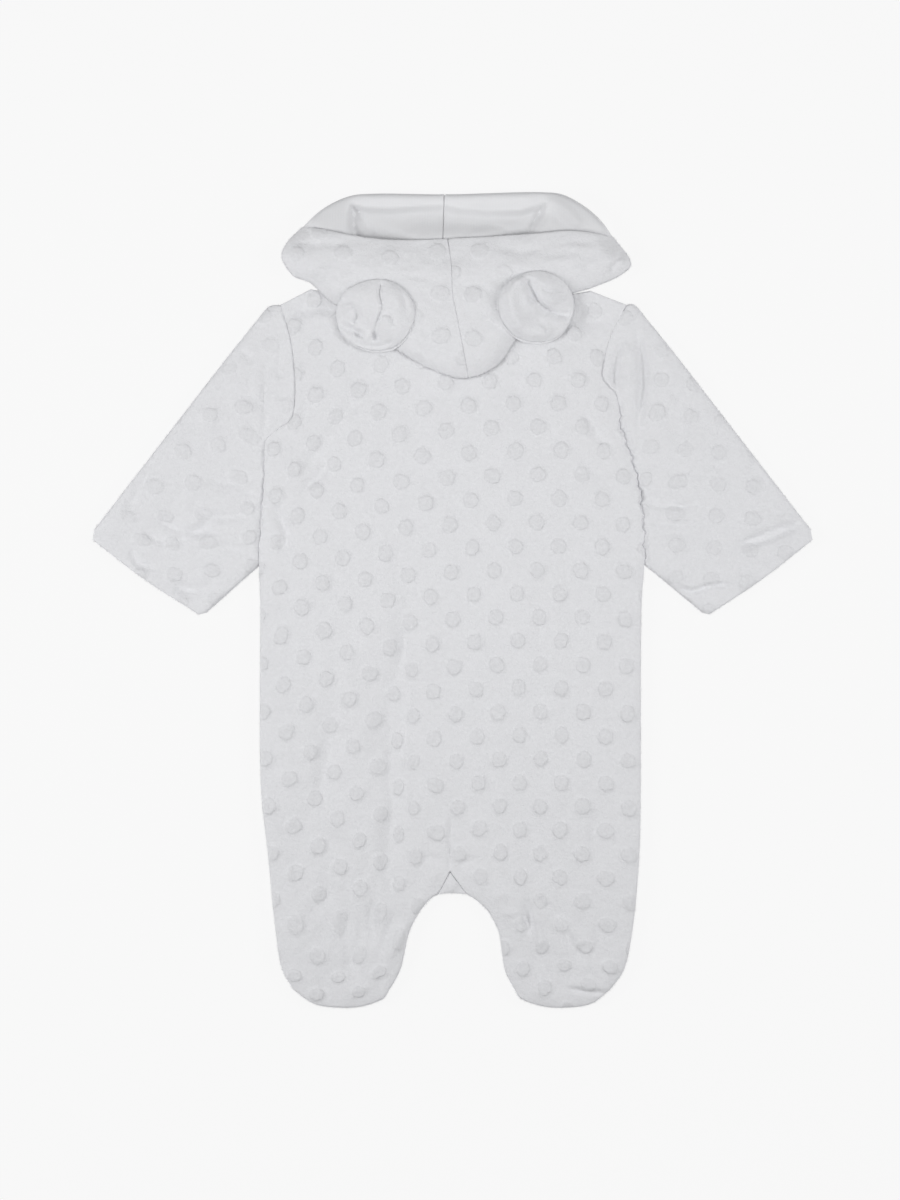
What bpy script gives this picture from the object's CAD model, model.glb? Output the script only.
"""Looks of a hooded plush sleepsuit for a young baby, laid out face down on a pale surface.

Sizes are in millimetres and are turned into metres where a mesh is made. The feet point
along -Y, the hood along +Y, and the suit's back is uppermost.
"""

from __future__ import annotations

import logging
import math
from dataclasses import dataclass, field
from enum import Enum
from typing import Callable, Sequence

import bpy
import numpy as np
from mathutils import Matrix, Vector
from mathutils.geometry import delaunay_2d_cdt
from mathutils.kdtree import KDTree


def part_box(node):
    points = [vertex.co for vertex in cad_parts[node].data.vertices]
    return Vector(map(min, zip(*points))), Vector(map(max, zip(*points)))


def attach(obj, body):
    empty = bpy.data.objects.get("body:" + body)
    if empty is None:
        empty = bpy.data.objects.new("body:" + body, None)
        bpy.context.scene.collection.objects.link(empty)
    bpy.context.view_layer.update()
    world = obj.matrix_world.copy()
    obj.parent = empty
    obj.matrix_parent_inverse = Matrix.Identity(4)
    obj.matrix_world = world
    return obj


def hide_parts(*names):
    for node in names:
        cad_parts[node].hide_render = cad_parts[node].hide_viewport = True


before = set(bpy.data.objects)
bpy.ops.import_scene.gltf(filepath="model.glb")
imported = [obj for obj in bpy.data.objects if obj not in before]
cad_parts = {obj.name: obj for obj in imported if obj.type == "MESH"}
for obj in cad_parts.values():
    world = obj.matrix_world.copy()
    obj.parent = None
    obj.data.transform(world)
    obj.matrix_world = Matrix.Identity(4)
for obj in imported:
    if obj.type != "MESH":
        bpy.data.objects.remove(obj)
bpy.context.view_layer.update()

ZIP_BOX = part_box("front_zip")

log = logging.getLogger("sleepsuit")

Points = np.ndarray
Heights = np.ndarray
HeightField = Callable[[Points], Heights]
Knots = Sequence[tuple[float, float]]

MM = 0.001

# Walls and levels, as the solids have them.
PLUSH = 2.4
JERSEY = 1.5
SEAM_GAP = 0.3
SEAM_LEVEL = 3.0
BACK_CROWN = 7.7
SLEEVE_CROWN = 6.9
HOOD_BASE = 8.1
LINING_LOW = HOOD_BASE + PLUSH + SEAM_GAP
LINING_TOP = LINING_LOW + JERSEY
NEAR_AT_FOLD = LINING_TOP + 0.6 + JERSEY + 0.5 + PLUSH
NEAR_SWELL = 2.0
SWELL_START = 6.0
SWELL_REACH = 34.0
FOLD_DROP = 8.2
FOLD_REACH = 15.0
LIP_DROP = 4.2
LIP_REACH = 26.0
ZIP_X = -1.7
ZIP_WIDTH = 12.0
ZIP_END_Y = -150.0

# The solids are centred on their footprint, which moves them off these sizes by a hair.
PLACE = np.array([
    (ZIP_BOX[0][0] + ZIP_BOX[1][0]) / 2 / MM - ZIP_X,
    ZIP_BOX[0][1] / MM - (ZIP_END_Y + SEAM_GAP),
    0.0,
])


class Side(Enum):
    """Wearer's left or right, which are also the left and right of the laid-out back."""

    LEFT = -1
    RIGHT = 1

    @property
    def word(self) -> str:
        """The side as it stands in piece names."""
        return self.name.lower()


class Slot(Enum):
    """Material slots of the record."""

    PLUSH = "plush"
    LINING = "lining"
    ZIP = "zip_tape"


# ---- Plan geometry ----


def soft_run(knots: Knots, step: float) -> Points:
    """Resamples a smooth curve through plan points.

    Args:
        knots: The points that it passes through.
        step: Distance between the points returned.

    Returns:
        Plan points, evenly spaced.
    """
    p = np.asarray(knots, float)
    ends = np.vstack([2 * p[0] - p[1], p, 2 * p[-1] - p[-2]])
    pieces = []
    for a, b, c, d in zip(ends[:-3], ends[1:-2], ends[2:-1], ends[3:]):
        t1 = math.sqrt(np.linalg.norm(b - a))
        t2 = t1 + math.sqrt(np.linalg.norm(c - b))
        t3 = t2 + math.sqrt(np.linalg.norm(d - c))
        t = np.linspace(t1, t2, 24, endpoint=False)[:, None]
        ab = a + (b - a) * t / t1
        bc = b + (c - b) * (t - t1) / (t2 - t1)
        cd = c + (d - c) * (t - t2) / (t3 - t2)
        abc = ab + (bc - ab) * t / t2
        bcd = bc + (cd - bc) * (t - t1) / (t3 - t1)
        pieces.append(abc + (bcd - abc) * (t - t1) / (t2 - t1))
    return even_run(np.vstack([*pieces, p[-1:]]), step)


def even_run(path: Points, step: float) -> Points:
    """Resamples a run of straight stretches.

    Args:
        path: Points of the run.
        step: Distance between the points returned.

    Returns:
        Plan points, evenly spaced, with both ends kept.
    """
    path = np.asarray(path, float)
    lengths = np.r_[0, np.cumsum(np.linalg.norm(np.diff(path, axis=0), axis=1))]
    count = max(2, int(round(lengths[-1] / step)) + 1)
    at = np.linspace(0, lengths[-1], count)
    return np.c_[np.interp(at, lengths, path[:, 0]), np.interp(at, lengths, path[:, 1])]


def close_outline(*runs: Points, same: float = 0.35) -> Points:
    """Joins runs end to end into an anticlockwise outline.

    Args:
        runs: The runs in order round the shape.
        same: Points nearer than this are one.

    Returns:
        The outline without repeated points.
    """
    kept: list[np.ndarray] = []
    for p in np.vstack(runs):
        if not kept or np.hypot(*(p - kept[-1])) > same:
            kept.append(p)
    if np.hypot(*(kept[0] - kept[-1])) <= same:
        kept.pop()
    ring = [*kept, kept[0]]
    outline = np.vstack([even_run([a, b], 1.6)[:-1] if np.hypot(*(b - a)) > 2.4 else a[None]
                         for a, b in zip(ring[:-1], ring[1:])])
    x, y = outline.T
    area = np.dot(x, np.roll(y, -1)) - np.dot(y, np.roll(x, -1))
    return outline if area > 0 else outline[::-1].copy()


def path_distance(points: Points, path: Points, closed: bool = False) -> tuple[Heights, Heights, Heights]:
    """Distance from points to a path.

    Args:
        points: Plan points.
        path: Points of the path.
        closed: Whether the last point joins the first.

    Returns:
        The distance, the length along the path at the nearest place, and the side: positive
        to the left of the path's direction.
    """
    count = len(path)
    tree = KDTree(count)
    for i, (x, y) in enumerate(path.tolist()):
        tree.insert((x, y, 0.0), i)
    tree.balance()
    nearest = np.array([tree.find((x, y, 0.0))[1] for x, y in points.tolist()], int)
    ends = np.roll(path, -1, axis=0)
    run = ends - path
    if not closed:
        run[-1] = 0
    square = np.maximum((run**2).sum(1), 1e-12)
    before = np.r_[0, np.cumsum(np.sqrt(square))][:-1]
    distance = np.full(len(points), np.inf)
    along = np.zeros(len(points))
    side = np.ones(len(points))
    for offset in (-1, 0):
        k = (nearest + offset) % count if closed else np.maximum(nearest + offset, 0)
        away = points - path[k]
        t = np.clip((away * run[k]).sum(1) / square[k], 0, 1)
        gap = np.hypot(*(away - run[k] * t[:, None]).T)
        closer = gap < distance
        distance = np.where(closer, gap, distance)
        along = np.where(closer, before[k] + t * np.sqrt(square[k]), along)
        turn = np.sign(run[k, 0] * away[:, 1] - run[k, 1] * away[:, 0])
        side = np.where(closer & (turn != 0), turn, side)
    return distance, along, side


def edge_distance(points: Points, path: Points, closed: bool = False) -> Heights:
    """Plain distance from points to a path, as path_distance gives it first."""
    return path_distance(points, path, closed)[0]


def is_inside(points: Points, outline: Points) -> np.ndarray:
    """Says which points lie inside an outline.

    Args:
        points: Plan points.
        outline: A closed outline.

    Returns:
        One truth value a point.
    """
    inside = np.zeros(len(points), bool)
    x, y = points.T
    for a, b in zip(outline, np.roll(outline, -1, axis=0)):
        if a[1] != b[1]:
            crosses = (a[1] > y) != (b[1] > y)
            inside ^= crosses & (x < (b[0] - a[0]) * (y - a[1]) / (b[1] - a[1]) + a[0])
    return inside


def outside_distance(points: Points, outline: Points) -> Heights:
    """Distance out of a closed outline, negative inside it."""
    distance = edge_distance(points, outline, True)
    return np.where(is_inside(points, outline), -distance, distance)


def shift_outline(outline: Points, amount: float | Heights) -> Points:
    """Moves an anticlockwise outline outwards.

    Args:
        outline: The outline.
        amount: How far, for all points or for each. Inwards if negative.

    Returns:
        The moved outline.
    """
    arriving = outline - np.roll(outline, 1, axis=0)
    leaving = np.roll(outline, -1, axis=0) - outline
    arriving /= np.linalg.norm(arriving, axis=1)[:, None]
    leaving /= np.linalg.norm(leaving, axis=1)[:, None]
    normal = np.c_[arriving[:, 1] + leaving[:, 1], -arriving[:, 0] - leaving[:, 0]]
    length = np.maximum(np.linalg.norm(normal, axis=1), 1e-9)
    share = np.maximum(length / 2, 0.5)
    return outline + normal * (np.asarray(amount) / share / length)[..., None]


def smooth(t: Heights) -> Heights:
    """Soft step from 0 to 1 as t goes from 0 to 1."""
    t = np.clip(t, 0, 1)
    return t * t * (3 - 2 * t)


def round_off(distance: Heights, reach: float) -> Heights:
    """0 at an edge, rising round a quarter circle to 1 at its reach."""
    t = np.clip(1 - distance / reach, 0, 1)
    return np.sqrt(1 - t * t)


@dataclass(frozen=True)
class Crease:
    """A soft trough or ridge along a path.

    Attributes:
        knots: Plan points that it passes through.
        depth: How deep it is, or how high if negative.
        width: Half its width.
        step: Extra height on the left of its direction, fading over step_width.
        step_width: How far that height reaches.
        taper: Length over which each end fades.
    """

    knots: Knots
    depth: float
    width: float
    step: float = 0.0
    step_width: float = 12.0
    taper: float = 14.0

    def height(self, points: Points) -> Heights:
        """Height that the crease adds at each point.

        Args:
            points: Plan points.

        Returns:
            Heights, mostly zero.
        """
        reach = 3 * self.width + (3 * self.step_width if self.step else 0)
        path = soft_run(self.knots, 2.0)
        low, high = path.min(0) - reach, path.max(0) + reach
        near = np.all((points > low) & (points < high), axis=1)
        result = np.zeros(len(points))
        if not near.any():
            return result
        distance, along, side = path_distance(points[near], path)
        length = np.linalg.norm(np.diff(path, axis=0), axis=1).sum()
        taper = min(self.taper, length / 2)
        ends = smooth(along / taper) * smooth((length - along) / taper)
        value = -self.depth * np.exp(-((distance / self.width) ** 2))
        if self.step:
            signed = distance * side
            rise = smooth(signed / (2 * self.width) + 0.5)
            value += self.step * rise * np.exp(-((distance / self.step_width) ** 2))
        result[near] = value * ends
        return result


@dataclass(frozen=True)
class Valley:
    """A sharp fold line between two puffed swells of cloth.

    Attributes:
        knots: Plan points that it passes through.
        depth: How deep its line lies.
        reach: How far from the line the cloth is full again.
        taper: Length over which each end fades.
    """

    knots: Knots
    depth: float
    reach: float
    taper: float = 10.0

    def height(self, points: Points) -> Heights:
        """Height that the fold takes away at each point.

        Args:
            points: Plan points.

        Returns:
            Heights.
        """
        path = soft_run(self.knots, 1.5)
        low, high = path.min(0) - self.reach, path.max(0) + self.reach
        near = np.all((points > low) & (points < high), axis=1)
        result = np.zeros(len(points))
        if near.any():
            distance, along, _ = path_distance(points[near], path)
            length = np.linalg.norm(np.diff(path, axis=0), axis=1).sum()
            taper = min(self.taper, length / 2)
            ends = smooth(along / taper + 0.02) * smooth((length - along) / taper + 0.02)
            result[near] = -self.depth * ends * (1 - round_off(distance, self.reach)) ** 0.8
        return result


@dataclass(frozen=True)
class Hollow:
    """A round dent, or a lump if its depth is negative.

    Attributes:
        x: Its middle.
        y: The same.
        depth: How deep it is.
        reach_x: Half its width.
        reach_y: Half its height.
        turn: How far it is turned, in degrees.
    """

    x: float
    y: float
    depth: float
    reach_x: float
    reach_y: float
    turn: float = 0.0

    def height(self, points: Points) -> Heights:
        """Height that the dent adds at each point.

        Args:
            points: Plan points.

        Returns:
            Heights.
        """
        angle = math.radians(self.turn)
        dx, dy = points[:, 0] - self.x, points[:, 1] - self.y
        u = (dx * math.cos(angle) + dy * math.sin(angle)) / self.reach_x
        v = (dy * math.cos(angle) - dx * math.sin(angle)) / self.reach_y
        return -self.depth * np.exp(-(u * u + v * v))


@dataclass(frozen=True)
class Wander:
    """Slow unevenness of soft cloth, the same at every run.

    Attributes:
        seed: Picks the waves.
        amount: Greatest height of the sum, roughly.
        wave: Shortest wavelength.
    """

    seed: int
    amount: float
    wave: float

    def height(self, points: Points) -> Heights:
        """Height of the unevenness at each point.

        Args:
            points: Plan points.

        Returns:
            Heights.
        """
        picks = np.random.default_rng(self.seed)
        total = np.zeros(len(points))
        count = 9
        for _ in range(count):
            angle = picks.uniform(0, 2 * math.pi)
            wave = self.wave * picks.uniform(1.0, 2.6)
            phase = picks.uniform(0, 2 * math.pi)
            run = points[:, 0] * math.cos(angle) + points[:, 1] * math.sin(angle)
            total += np.cos(2 * math.pi * run / wave + phase)
        return total * self.amount / math.sqrt(count * 2)


@dataclass(frozen=True)
class Rumple:
    """Many short soft wrinkles over part of the cloth, the same at every run.

    Attributes:
        seed: Picks the wrinkles.
        count: How many there are.
        x: Middle of the part.
        y: The same.
        spread_x: Half its width.
        spread_y: Half its height.
        direction: Usual direction of a wrinkle, in degrees.
        scatter: How far directions stray, in degrees.
        length: Usual half length of a wrinkle.
        width: Usual half width.
        depth: Usual depth; about a third of them are ridges.
    """

    seed: int
    count: int
    x: float
    y: float
    spread_x: float
    spread_y: float
    direction: float
    scatter: float
    length: float
    width: float
    depth: float

    def height(self, points: Points) -> Heights:
        """Height that the wrinkles add at each point.

        Args:
            points: Plan points.

        Returns:
            Heights.
        """
        picks = np.random.default_rng(self.seed)
        total = np.zeros(len(points))
        for _ in range(self.count):
            x = self.x + self.spread_x * picks.uniform(-1, 1)
            y = self.y + self.spread_y * picks.uniform(-1, 1)
            angle = math.radians(self.direction + self.scatter * picks.uniform(-1, 1))
            length = self.length * picks.uniform(0.6, 1.5)
            width = self.width * picks.uniform(0.7, 1.5)
            depth = self.depth * picks.uniform(0.4, 1.2) * (-0.8 if picks.uniform() < 0.35 else 1)
            bow = picks.uniform(-0.35, 0.35) / length
            near = np.hypot(points[:, 0] - x, points[:, 1] - y) < 2.4 * length
            dx, dy = points[near, 0] - x, points[near, 1] - y
            u = dx * math.cos(angle) + dy * math.sin(angle)
            v = dy * math.cos(angle) - dx * math.sin(angle) - bow * u * u
            total[near] -= depth * np.exp(-((u / length) ** 2) - (v / width) ** 2)
        return total


Relief = Crease | Valley | Hollow | Wander | Rumple


def relief_height(points: Points, parts: Sequence[Relief]) -> Heights:
    """Sum of several kinds of relief at each point.

    Args:
        points: Plan points.
        parts: Kinds of relief.

    Returns:
        Heights.
    """
    total = np.zeros(len(points))
    for part in parts:
        total += part.height(points)
    return total


# ---- Raised dots ----

DOT_RADIUS = 6.4
DOT_RISE = 1.0


@dataclass(frozen=True)
class Pull:
    """Part of a panel whose cloth was drawn along the surface, fading out round it.

    Attributes:
        x: Middle of the part.
        y: The same.
        move_x: How far the cloth there was drawn.
        move_y: The same.
        reach_x: Half the width of the part.
        reach_y: Half its height.
    """

    x: float
    y: float
    move_x: float
    move_y: float
    reach_x: float
    reach_y: float

    def moves(self, points: Points) -> Points:
        """How far the cloth at each point was drawn.

        Args:
            points: Plan points.

        Returns:
            A shift for each point.
        """
        u = (points[:, 0] - self.x) / self.reach_x
        v = (points[:, 1] - self.y) / self.reach_y
        return np.exp(-u * u - v * v)[:, None] * np.array([self.move_x, self.move_y])


@dataclass(frozen=True)
class DotRows:
    """Staggered rows of raised dots on cloth that may bend, lean and be drawn aside.

    Attributes:
        x: One dot's place.
        y: The same.
        along: Half the distance between dots in a row.
        across: Distance between rows.
        turn: Direction of the rows, in degrees.
        lean: How far the columns lean out of square, in degrees.
        bow: How far a row drops at 100 mm from the first dot.
        pulls: Parts where the cloth was drawn aside.
    """

    x: float
    y: float
    along: float
    across: float
    turn: float = 0.0
    lean: float = 0.0
    bow: float = 0.0
    pulls: tuple[Pull, ...] = ()

    def places(self, points: Points) -> Points:
        """Column and row of each point.

        Args:
            points: Plan points.

        Returns:
            Column and row, where a dot stands at each pair of whole numbers with an even sum.
        """
        wave = points @ np.array([[0.83, 0.37, 0.61], [-0.42, 0.91, 0.55]])
        stray = np.c_[np.sin(wave[:, 0]) + np.sin(1.7 * wave[:, 2]),
                      np.sin(wave[:, 1]) - np.sin(1.9 * wave[:, 2])]
        cloth = points + 0.2 * stray
        for pull in self.pulls:
            cloth = cloth - pull.moves(points)
        angle = math.radians(self.turn)
        dx, dy = cloth[:, 0] - self.x, cloth[:, 1] - self.y
        u = dx * math.cos(angle) + dy * math.sin(angle)
        v = dy * math.cos(angle) - dx * math.sin(angle)
        leant = u + v * math.tan(math.radians(self.lean))
        return np.c_[leant / self.along, (v + self.bow * (u / 100) ** 2) / self.across]

    def height(self, places: Points) -> Heights:
        """Height of the dots above the cloth at given columns and rows.

        Args:
            places: Column and row of each point.

        Returns:
            Heights.
        """
        half_sum = places.sum(1) / 2
        half_difference = (places[:, 0] - places[:, 1]) / 2
        which_a, which_b = np.round(half_sum), np.round(half_difference)
        a, b = half_sum - which_a, half_difference - which_b
        chance = np.sin(which_a * 12.99 + which_b * 78.23) * 43758.55
        chance = chance - np.floor(chance)
        distance = np.hypot((a + b) * self.along, (a - b) * self.across)
        radius = DOT_RADIUS * (0.93 + 0.12 * chance)
        dome = smooth((radius + 1.3 - distance) / 4.2)
        return DOT_RISE * (0.8 + 0.35 * chance) * dome


# ---- Cloth layers ----


@dataclass
class Layer:
    """A closed sheet of cloth over a plan outline, with a rounded edge.

    Attributes:
        outline: Anticlockwise plan outline.
        top: Height of its upper surface.
        bottom: Height of its lower surface.
        grid: Spacing of the points on the upper surface.
        under_grid: Spacing on the lower surface.
        rim: How far in from the edge the sheet rounds off, at most.
        tight: Share of that reach at each point.
        dots: Raised dots on the upper surface.
        standing: Share of a dot's height that is left at each point.
    """

    outline: Points
    top: HeightField
    bottom: HeightField
    grid: float = 1.6
    under_grid: float = 5.0
    rim: float = 1.3
    tight: HeightField | None = None
    dots: DotRows | None = None
    standing: HeightField | None = None

    def inner_points(self, grid: float) -> Points:
        """Rings beside the edge and a triangular grid inside them.

        Args:
            grid: Spacing of the grid.

        Returns:
            Plan points inside the outline.
        """
        rings = []
        for share in (0.12, 0.4, 0.8, 1.35):
            inset = share * self.rim
            ring = shift_outline(self.outline, -inset)
            gap = np.linalg.norm(np.roll(ring, -1, axis=0) - ring, axis=1)
            ring = ring[gap > 0.2]
            true = edge_distance(ring, self.outline, True)
            rings.append(ring[(true > inset * 0.93) & is_inside(ring, self.outline)])
        low, high = self.outline.min(0), self.outline.max(0)
        rows = np.arange(low[1], high[1], grid * math.sqrt(3) / 2)
        columns = np.arange(low[0], high[0], grid)
        x = np.concatenate([columns + (i % 2) * grid / 2 for i in range(len(rows))])
        y = np.repeat(rows, len(columns))
        points = np.c_[x, y]
        points = points[is_inside(points, self.outline)]
        clear = edge_distance(points, self.outline, True) > 1.35 * self.rim + 0.45 * min(grid, 2.4)
        return np.vstack([*rings, points[clear]])

    def surface(self, grid: float) -> tuple[Points, np.ndarray]:
        """Triangles over the outline.

        Args:
            grid: Spacing of the points inside.

        Returns:
            The plan points, outline first, and the corners of each triangle.
        """
        points = np.vstack([self.outline, self.inner_points(grid)])
        count = len(self.outline)
        edges = [(i, (i + 1) % count) for i in range(count)]
        flat = [Vector(p) for p in points.tolist()]
        found = delaunay_2d_cdt(flat, edges, [], 1, 1e-6, True)
        corners = np.array([[found[3][i][0] for i in face] for face in found[2]])
        a, b, c = (points[corners[:, k]] for k in range(3))
        area = (b[:, 0] - a[:, 0]) * (c[:, 1] - a[:, 1]) - (b[:, 1] - a[:, 1]) * (c[:, 0] - a[:, 0])
        corners[area < 0] = corners[area < 0][:, ::-1]
        kept = (np.abs(area) > 1e-7) & is_inside((a + b + c) / 3, self.outline)
        return points, corners[kept]

    def rounded(self, points: Points, upper: bool) -> Heights:
        """Height of one surface once the edge is rounded.

        Args:
            points: Plan points.
            upper: Whether the upper surface is wanted.

        Returns:
            Heights that meet those of the other surface at the outline.
        """
        top, bottom = self.top(points), self.bottom(points)
        reach = self.rim * self.tight(points) if self.tight else self.rim
        share = round_off(edge_distance(points, self.outline, True) / reach, 1.0)
        middle = (top + bottom) / 2
        half = (top - bottom) / 2
        return middle + half * share * (1 if upper else -1)

    def build(self) -> MeshParts:
        """Makes the closed sheet.

        Returns:
            Its vertices, triangles and cloth coordinates.
        """
        count = len(self.outline)
        above, upper = self.surface(self.grid)
        below, lower = self.surface(self.under_grid)
        high = self.rounded(above, True)
        places = self.dots.places(above) if self.dots else above / 30
        standing = self.standing(above) if self.standing else np.ones(len(above))
        if self.dots:
            inset = smooth((edge_distance(above, self.outline, True) - 0.4) / 2.5)
            high = high + self.dots.height(places) * inset * standing
        low = self.rounded(below, False)
        under_places = self.dots.places(below) if self.dots else below / 30
        offset = len(above) - count
        lower = np.where(lower < count, lower, lower + offset)[:, ::-1]
        points = np.vstack([np.c_[above, high], np.c_[below[count:], low[count:]]])
        return MeshParts(
            points, np.vstack([upper, lower]), np.vstack([places, under_places[count:]]),
            np.r_[standing, np.ones(len(below) - count)])


def put(name: str, data: bpy.types.ID) -> bpy.types.Object:
    """Makes an object at the origin of the scene.

    Args:
        name: The object's name.
        data: Its mesh, light or camera.

    Returns:
        The new object.
    """
    thing = bpy.data.objects.new(name, data)
    bpy.context.scene.collection.objects.link(thing)
    return thing


@dataclass
class MeshParts:
    """A mesh in millimetres that isn't yet one of Blender's.

    Attributes:
        points: Its vertices.
        triangles: Corners of its triangles.
        places: Cloth coordinates of its vertices.
        standing: How far the raised dots stand at each vertex.
    """

    points: np.ndarray
    triangles: np.ndarray
    places: Points
    standing: Heights

    @staticmethod
    def joined(parts: Sequence[MeshParts]) -> MeshParts:
        """Puts several closed sheets into one mesh.

        Args:
            parts: The sheets.

        Returns:
            All of them together.
        """
        offsets = np.cumsum([0, *(len(p.points) for p in parts[:-1])])
        triangles = [p.triangles + o for p, o in zip(parts, offsets)]
        return MeshParts(
            np.vstack([p.points for p in parts]),
            np.vstack(triangles),
            np.vstack([p.places for p in parts]),
            np.concatenate([p.standing for p in parts]),
        )

    def to_object(self, name: str, material: bpy.types.Material) -> bpy.types.Object:
        """Turns the mesh into a Blender object at the origin.

        Args:
            name: The piece's name.
            material: Its finish.

        Returns:
            The new object.
        """
        mesh = bpy.data.meshes.new(name)
        mesh.from_pydata(((self.points + PLACE) * MM).tolist(), [], self.triangles.tolist())
        layer = mesh.uv_layers.new(name="Cloth")
        corners = np.empty(len(mesh.loops), np.int32)
        mesh.loops.foreach_get("vertex_index", corners)
        layer.data.foreach_set("uv", self.places[corners].astype(np.float32).ravel())
        standing = mesh.attributes.new("Standing", "FLOAT", "POINT")
        standing.data.foreach_set("value", self.standing.astype(np.float32))
        mesh.shade_smooth()
        mesh.materials.append(material)
        mesh.update()
        return put(name, mesh)


def settle(piece: bpy.types.Object, replaced: Sequence[str] = ()) -> bpy.types.Object:
    """Fixes a piece to the suit.

    Args:
        piece: The new piece.
        replaced: CAD nodes that it stands for.

    Returns:
        The same piece.
    """
    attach(piece, "root")
    if replaced:
        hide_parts(*replaced)
    log.info("%s: %d triangles", piece.name, len(piece.data.polygons))
    return piece


@dataclass(frozen=True)
class Cut:
    """Flat size that a piece of cloth was cut to, in metres and square metres.

    Attributes:
        width: Its width.
        length: Its length.
        area: Its area.
    """

    width: float
    length: float
    area: float


def cloth_piece(
    parts: MeshParts, name: str, finish: bpy.types.Material, node: str,
) -> bpy.types.Object:
    """Makes a piece of cloth, fixes it to the suit and states its cut.

    Args:
        parts: Its mesh.
        name: The piece's name.
        finish: Its material.
        node: CAD node that it stands for.

    Returns:
        The piece.
    """
    piece = settle(parts.to_object(name, finish), [node])
    return piece


# ---- Finishes ----


class Nodes:
    """Short ways of adding nodes to one tree."""

    def __init__(self, tree: bpy.types.NodeTree) -> None:
        """Keeps the tree."""
        self.tree = tree

    def add(self, kind: str, **settings: object) -> bpy.types.Node:
        """Adds a node and sets its properties.

        Args:
            kind: Blender's name of the node type.
            settings: Properties of the node.

        Returns:
            The node.
        """
        node = self.tree.nodes.new(kind)
        for key, value in settings.items():
            setattr(node, key, value)
        return node

    def feed(self, node: bpy.types.Node, name: str | int, value: object) -> None:
        """Links a socket to an input, or sets the input's own value.

        Args:
            node: The node.
            name: Name or number of the input.
            value: A socket or a fixed value.
        """
        if isinstance(value, bpy.types.NodeSocket):
            self.tree.links.new(value, node.inputs[name])
        else:
            node.inputs[name].default_value = value

    def sum(self, operation: str, first: object, second: object = 0.0) -> bpy.types.NodeSocket:
        """Adds a Math node of two values.

        Args:
            operation: Blender's name of the operation.
            first: A socket or a number.
            second: The same.

        Returns:
            Its output.
        """
        node = self.add("ShaderNodeMath", operation=operation)
        self.feed(node, 0, first)
        self.feed(node, 1, second)
        return node.outputs[0]

    def between(
        self, value: object, low: float, high: float, to_low: float = 0.0, to_high: float = 1.0
    ) -> bpy.types.NodeSocket:
        """Maps a range softly on to another.

        Args:
            value: The socket to map.
            low: Start of its range.
            high: End of its range.
            to_low: What low becomes.
            to_high: What high becomes.

        Returns:
            The mapped value.
        """
        node = self.add("ShaderNodeMapRange", interpolation_type="SMOOTHSTEP")
        self.feed(node, "Value", value)
        for name, number in (("From Min", low), ("From Max", high), ("To Min", to_low), ("To Max", to_high)):
            node.inputs[name].default_value = number
        return node.outputs["Result"]

    def noise(self, where: object, scale: float, detail: float = 2.0) -> bpy.types.NodeSocket:
        """Adds a noise texture and gives its value.

        Args:
            where: Position to sample at.
            scale: Scale of the noise.
            detail: Its octaves.

        Returns:
            Its value.
        """
        node = self.add("ShaderNodeTexNoise")
        self.feed(node, "Vector", where)
        node.inputs["Scale"].default_value = scale
        node.inputs["Detail"].default_value = detail
        return node.outputs["Fac"]

    def place(self) -> bpy.types.NodeSocket:
        """Position on the piece, in metres."""
        return self.add("ShaderNodeTexCoord").outputs["Object"]

    def bump(self, height: object, distance: float, normal: object = None) -> bpy.types.NodeSocket:
        """Adds a bump whose height is in metres when the input is 1.

        Args:
            height: Socket or number to raise by.
            distance: Depth in metres where the height is 1.
            normal: Normal to start from.

        Returns:
            The bumped normal.
        """
        node = self.add("ShaderNodeBump")
        node.inputs["Distance"].default_value = distance
        self.feed(node, "Height", height)
        if normal is not None:
            self.feed(node, "Normal", normal)
        return node.outputs["Normal"]


def new_group(
    name: str, inputs: Sequence[tuple[str, str, float]], outputs: Sequence[str]
) -> bpy.types.NodeTree:
    """Starts a shader group with named sockets.

    Args:
        name: Name of the group.
        inputs: Name, socket type and first value of each input.
        outputs: Names of its number outputs.

    Returns:
        The empty group.
    """
    group = bpy.data.node_groups.new(name, "ShaderNodeTree")
    for label, kind, value in inputs:
        socket = group.interface.new_socket(label, in_out="INPUT", socket_type=kind)
        if kind == "NodeSocketFloat":
            socket.default_value = value
    for label in outputs:
        group.interface.new_socket(label, in_out="OUTPUT", socket_type="NodeSocketFloat")
    return group


def dot_group() -> bpy.types.NodeTree:
    """Makes the group that finds the raised dots from the cloth coordinates.

    Returns:
        A group with outputs Disc, 1 on a dot, and Rim, 1 round its edge.
    """
    group = new_group(
        "Raised dots",
        [("Places", "NodeSocketVector", 0.0), ("Along", "NodeSocketFloat", 15.0),
         ("Across", "NodeSocketFloat", 15.75), ("Radius", "NodeSocketFloat", 5.7)],
        ["Disc", "Rim"],
    )
    n = Nodes(group)
    start = n.add("NodeGroupInput")
    parts = n.add("ShaderNodeSeparateXYZ")
    n.feed(parts, 0, start.outputs["Places"])
    u, v = parts.outputs[0], parts.outputs[1]
    shares = []
    for operation in ("ADD", "SUBTRACT"):
        half = n.sum("MULTIPLY", n.sum(operation, u, v), 0.5)
        shares.append(n.sum("SUBTRACT", half, n.sum("ROUND", half)))
    across = n.sum("MULTIPLY", n.sum("ADD", *shares), start.outputs["Along"])
    up = n.sum("MULTIPLY", n.sum("SUBTRACT", *shares), start.outputs["Across"])
    square = n.sum("ADD", n.sum("MULTIPLY", across, across), n.sum("MULTIPLY", up, up))
    outside = n.sum("SUBTRACT", n.sum("SQRT", square), start.outputs["Radius"])
    disc = n.between(outside, 0.9, -0.9)
    ring = n.between(n.sum("ABSOLUTE", n.sum("SUBTRACT", outside, 0.6)), 1.0, 0.0)
    end = n.add("NodeGroupOutput")
    n.feed(end, "Disc", disc)
    n.feed(end, "Rim", ring)
    return group


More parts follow.
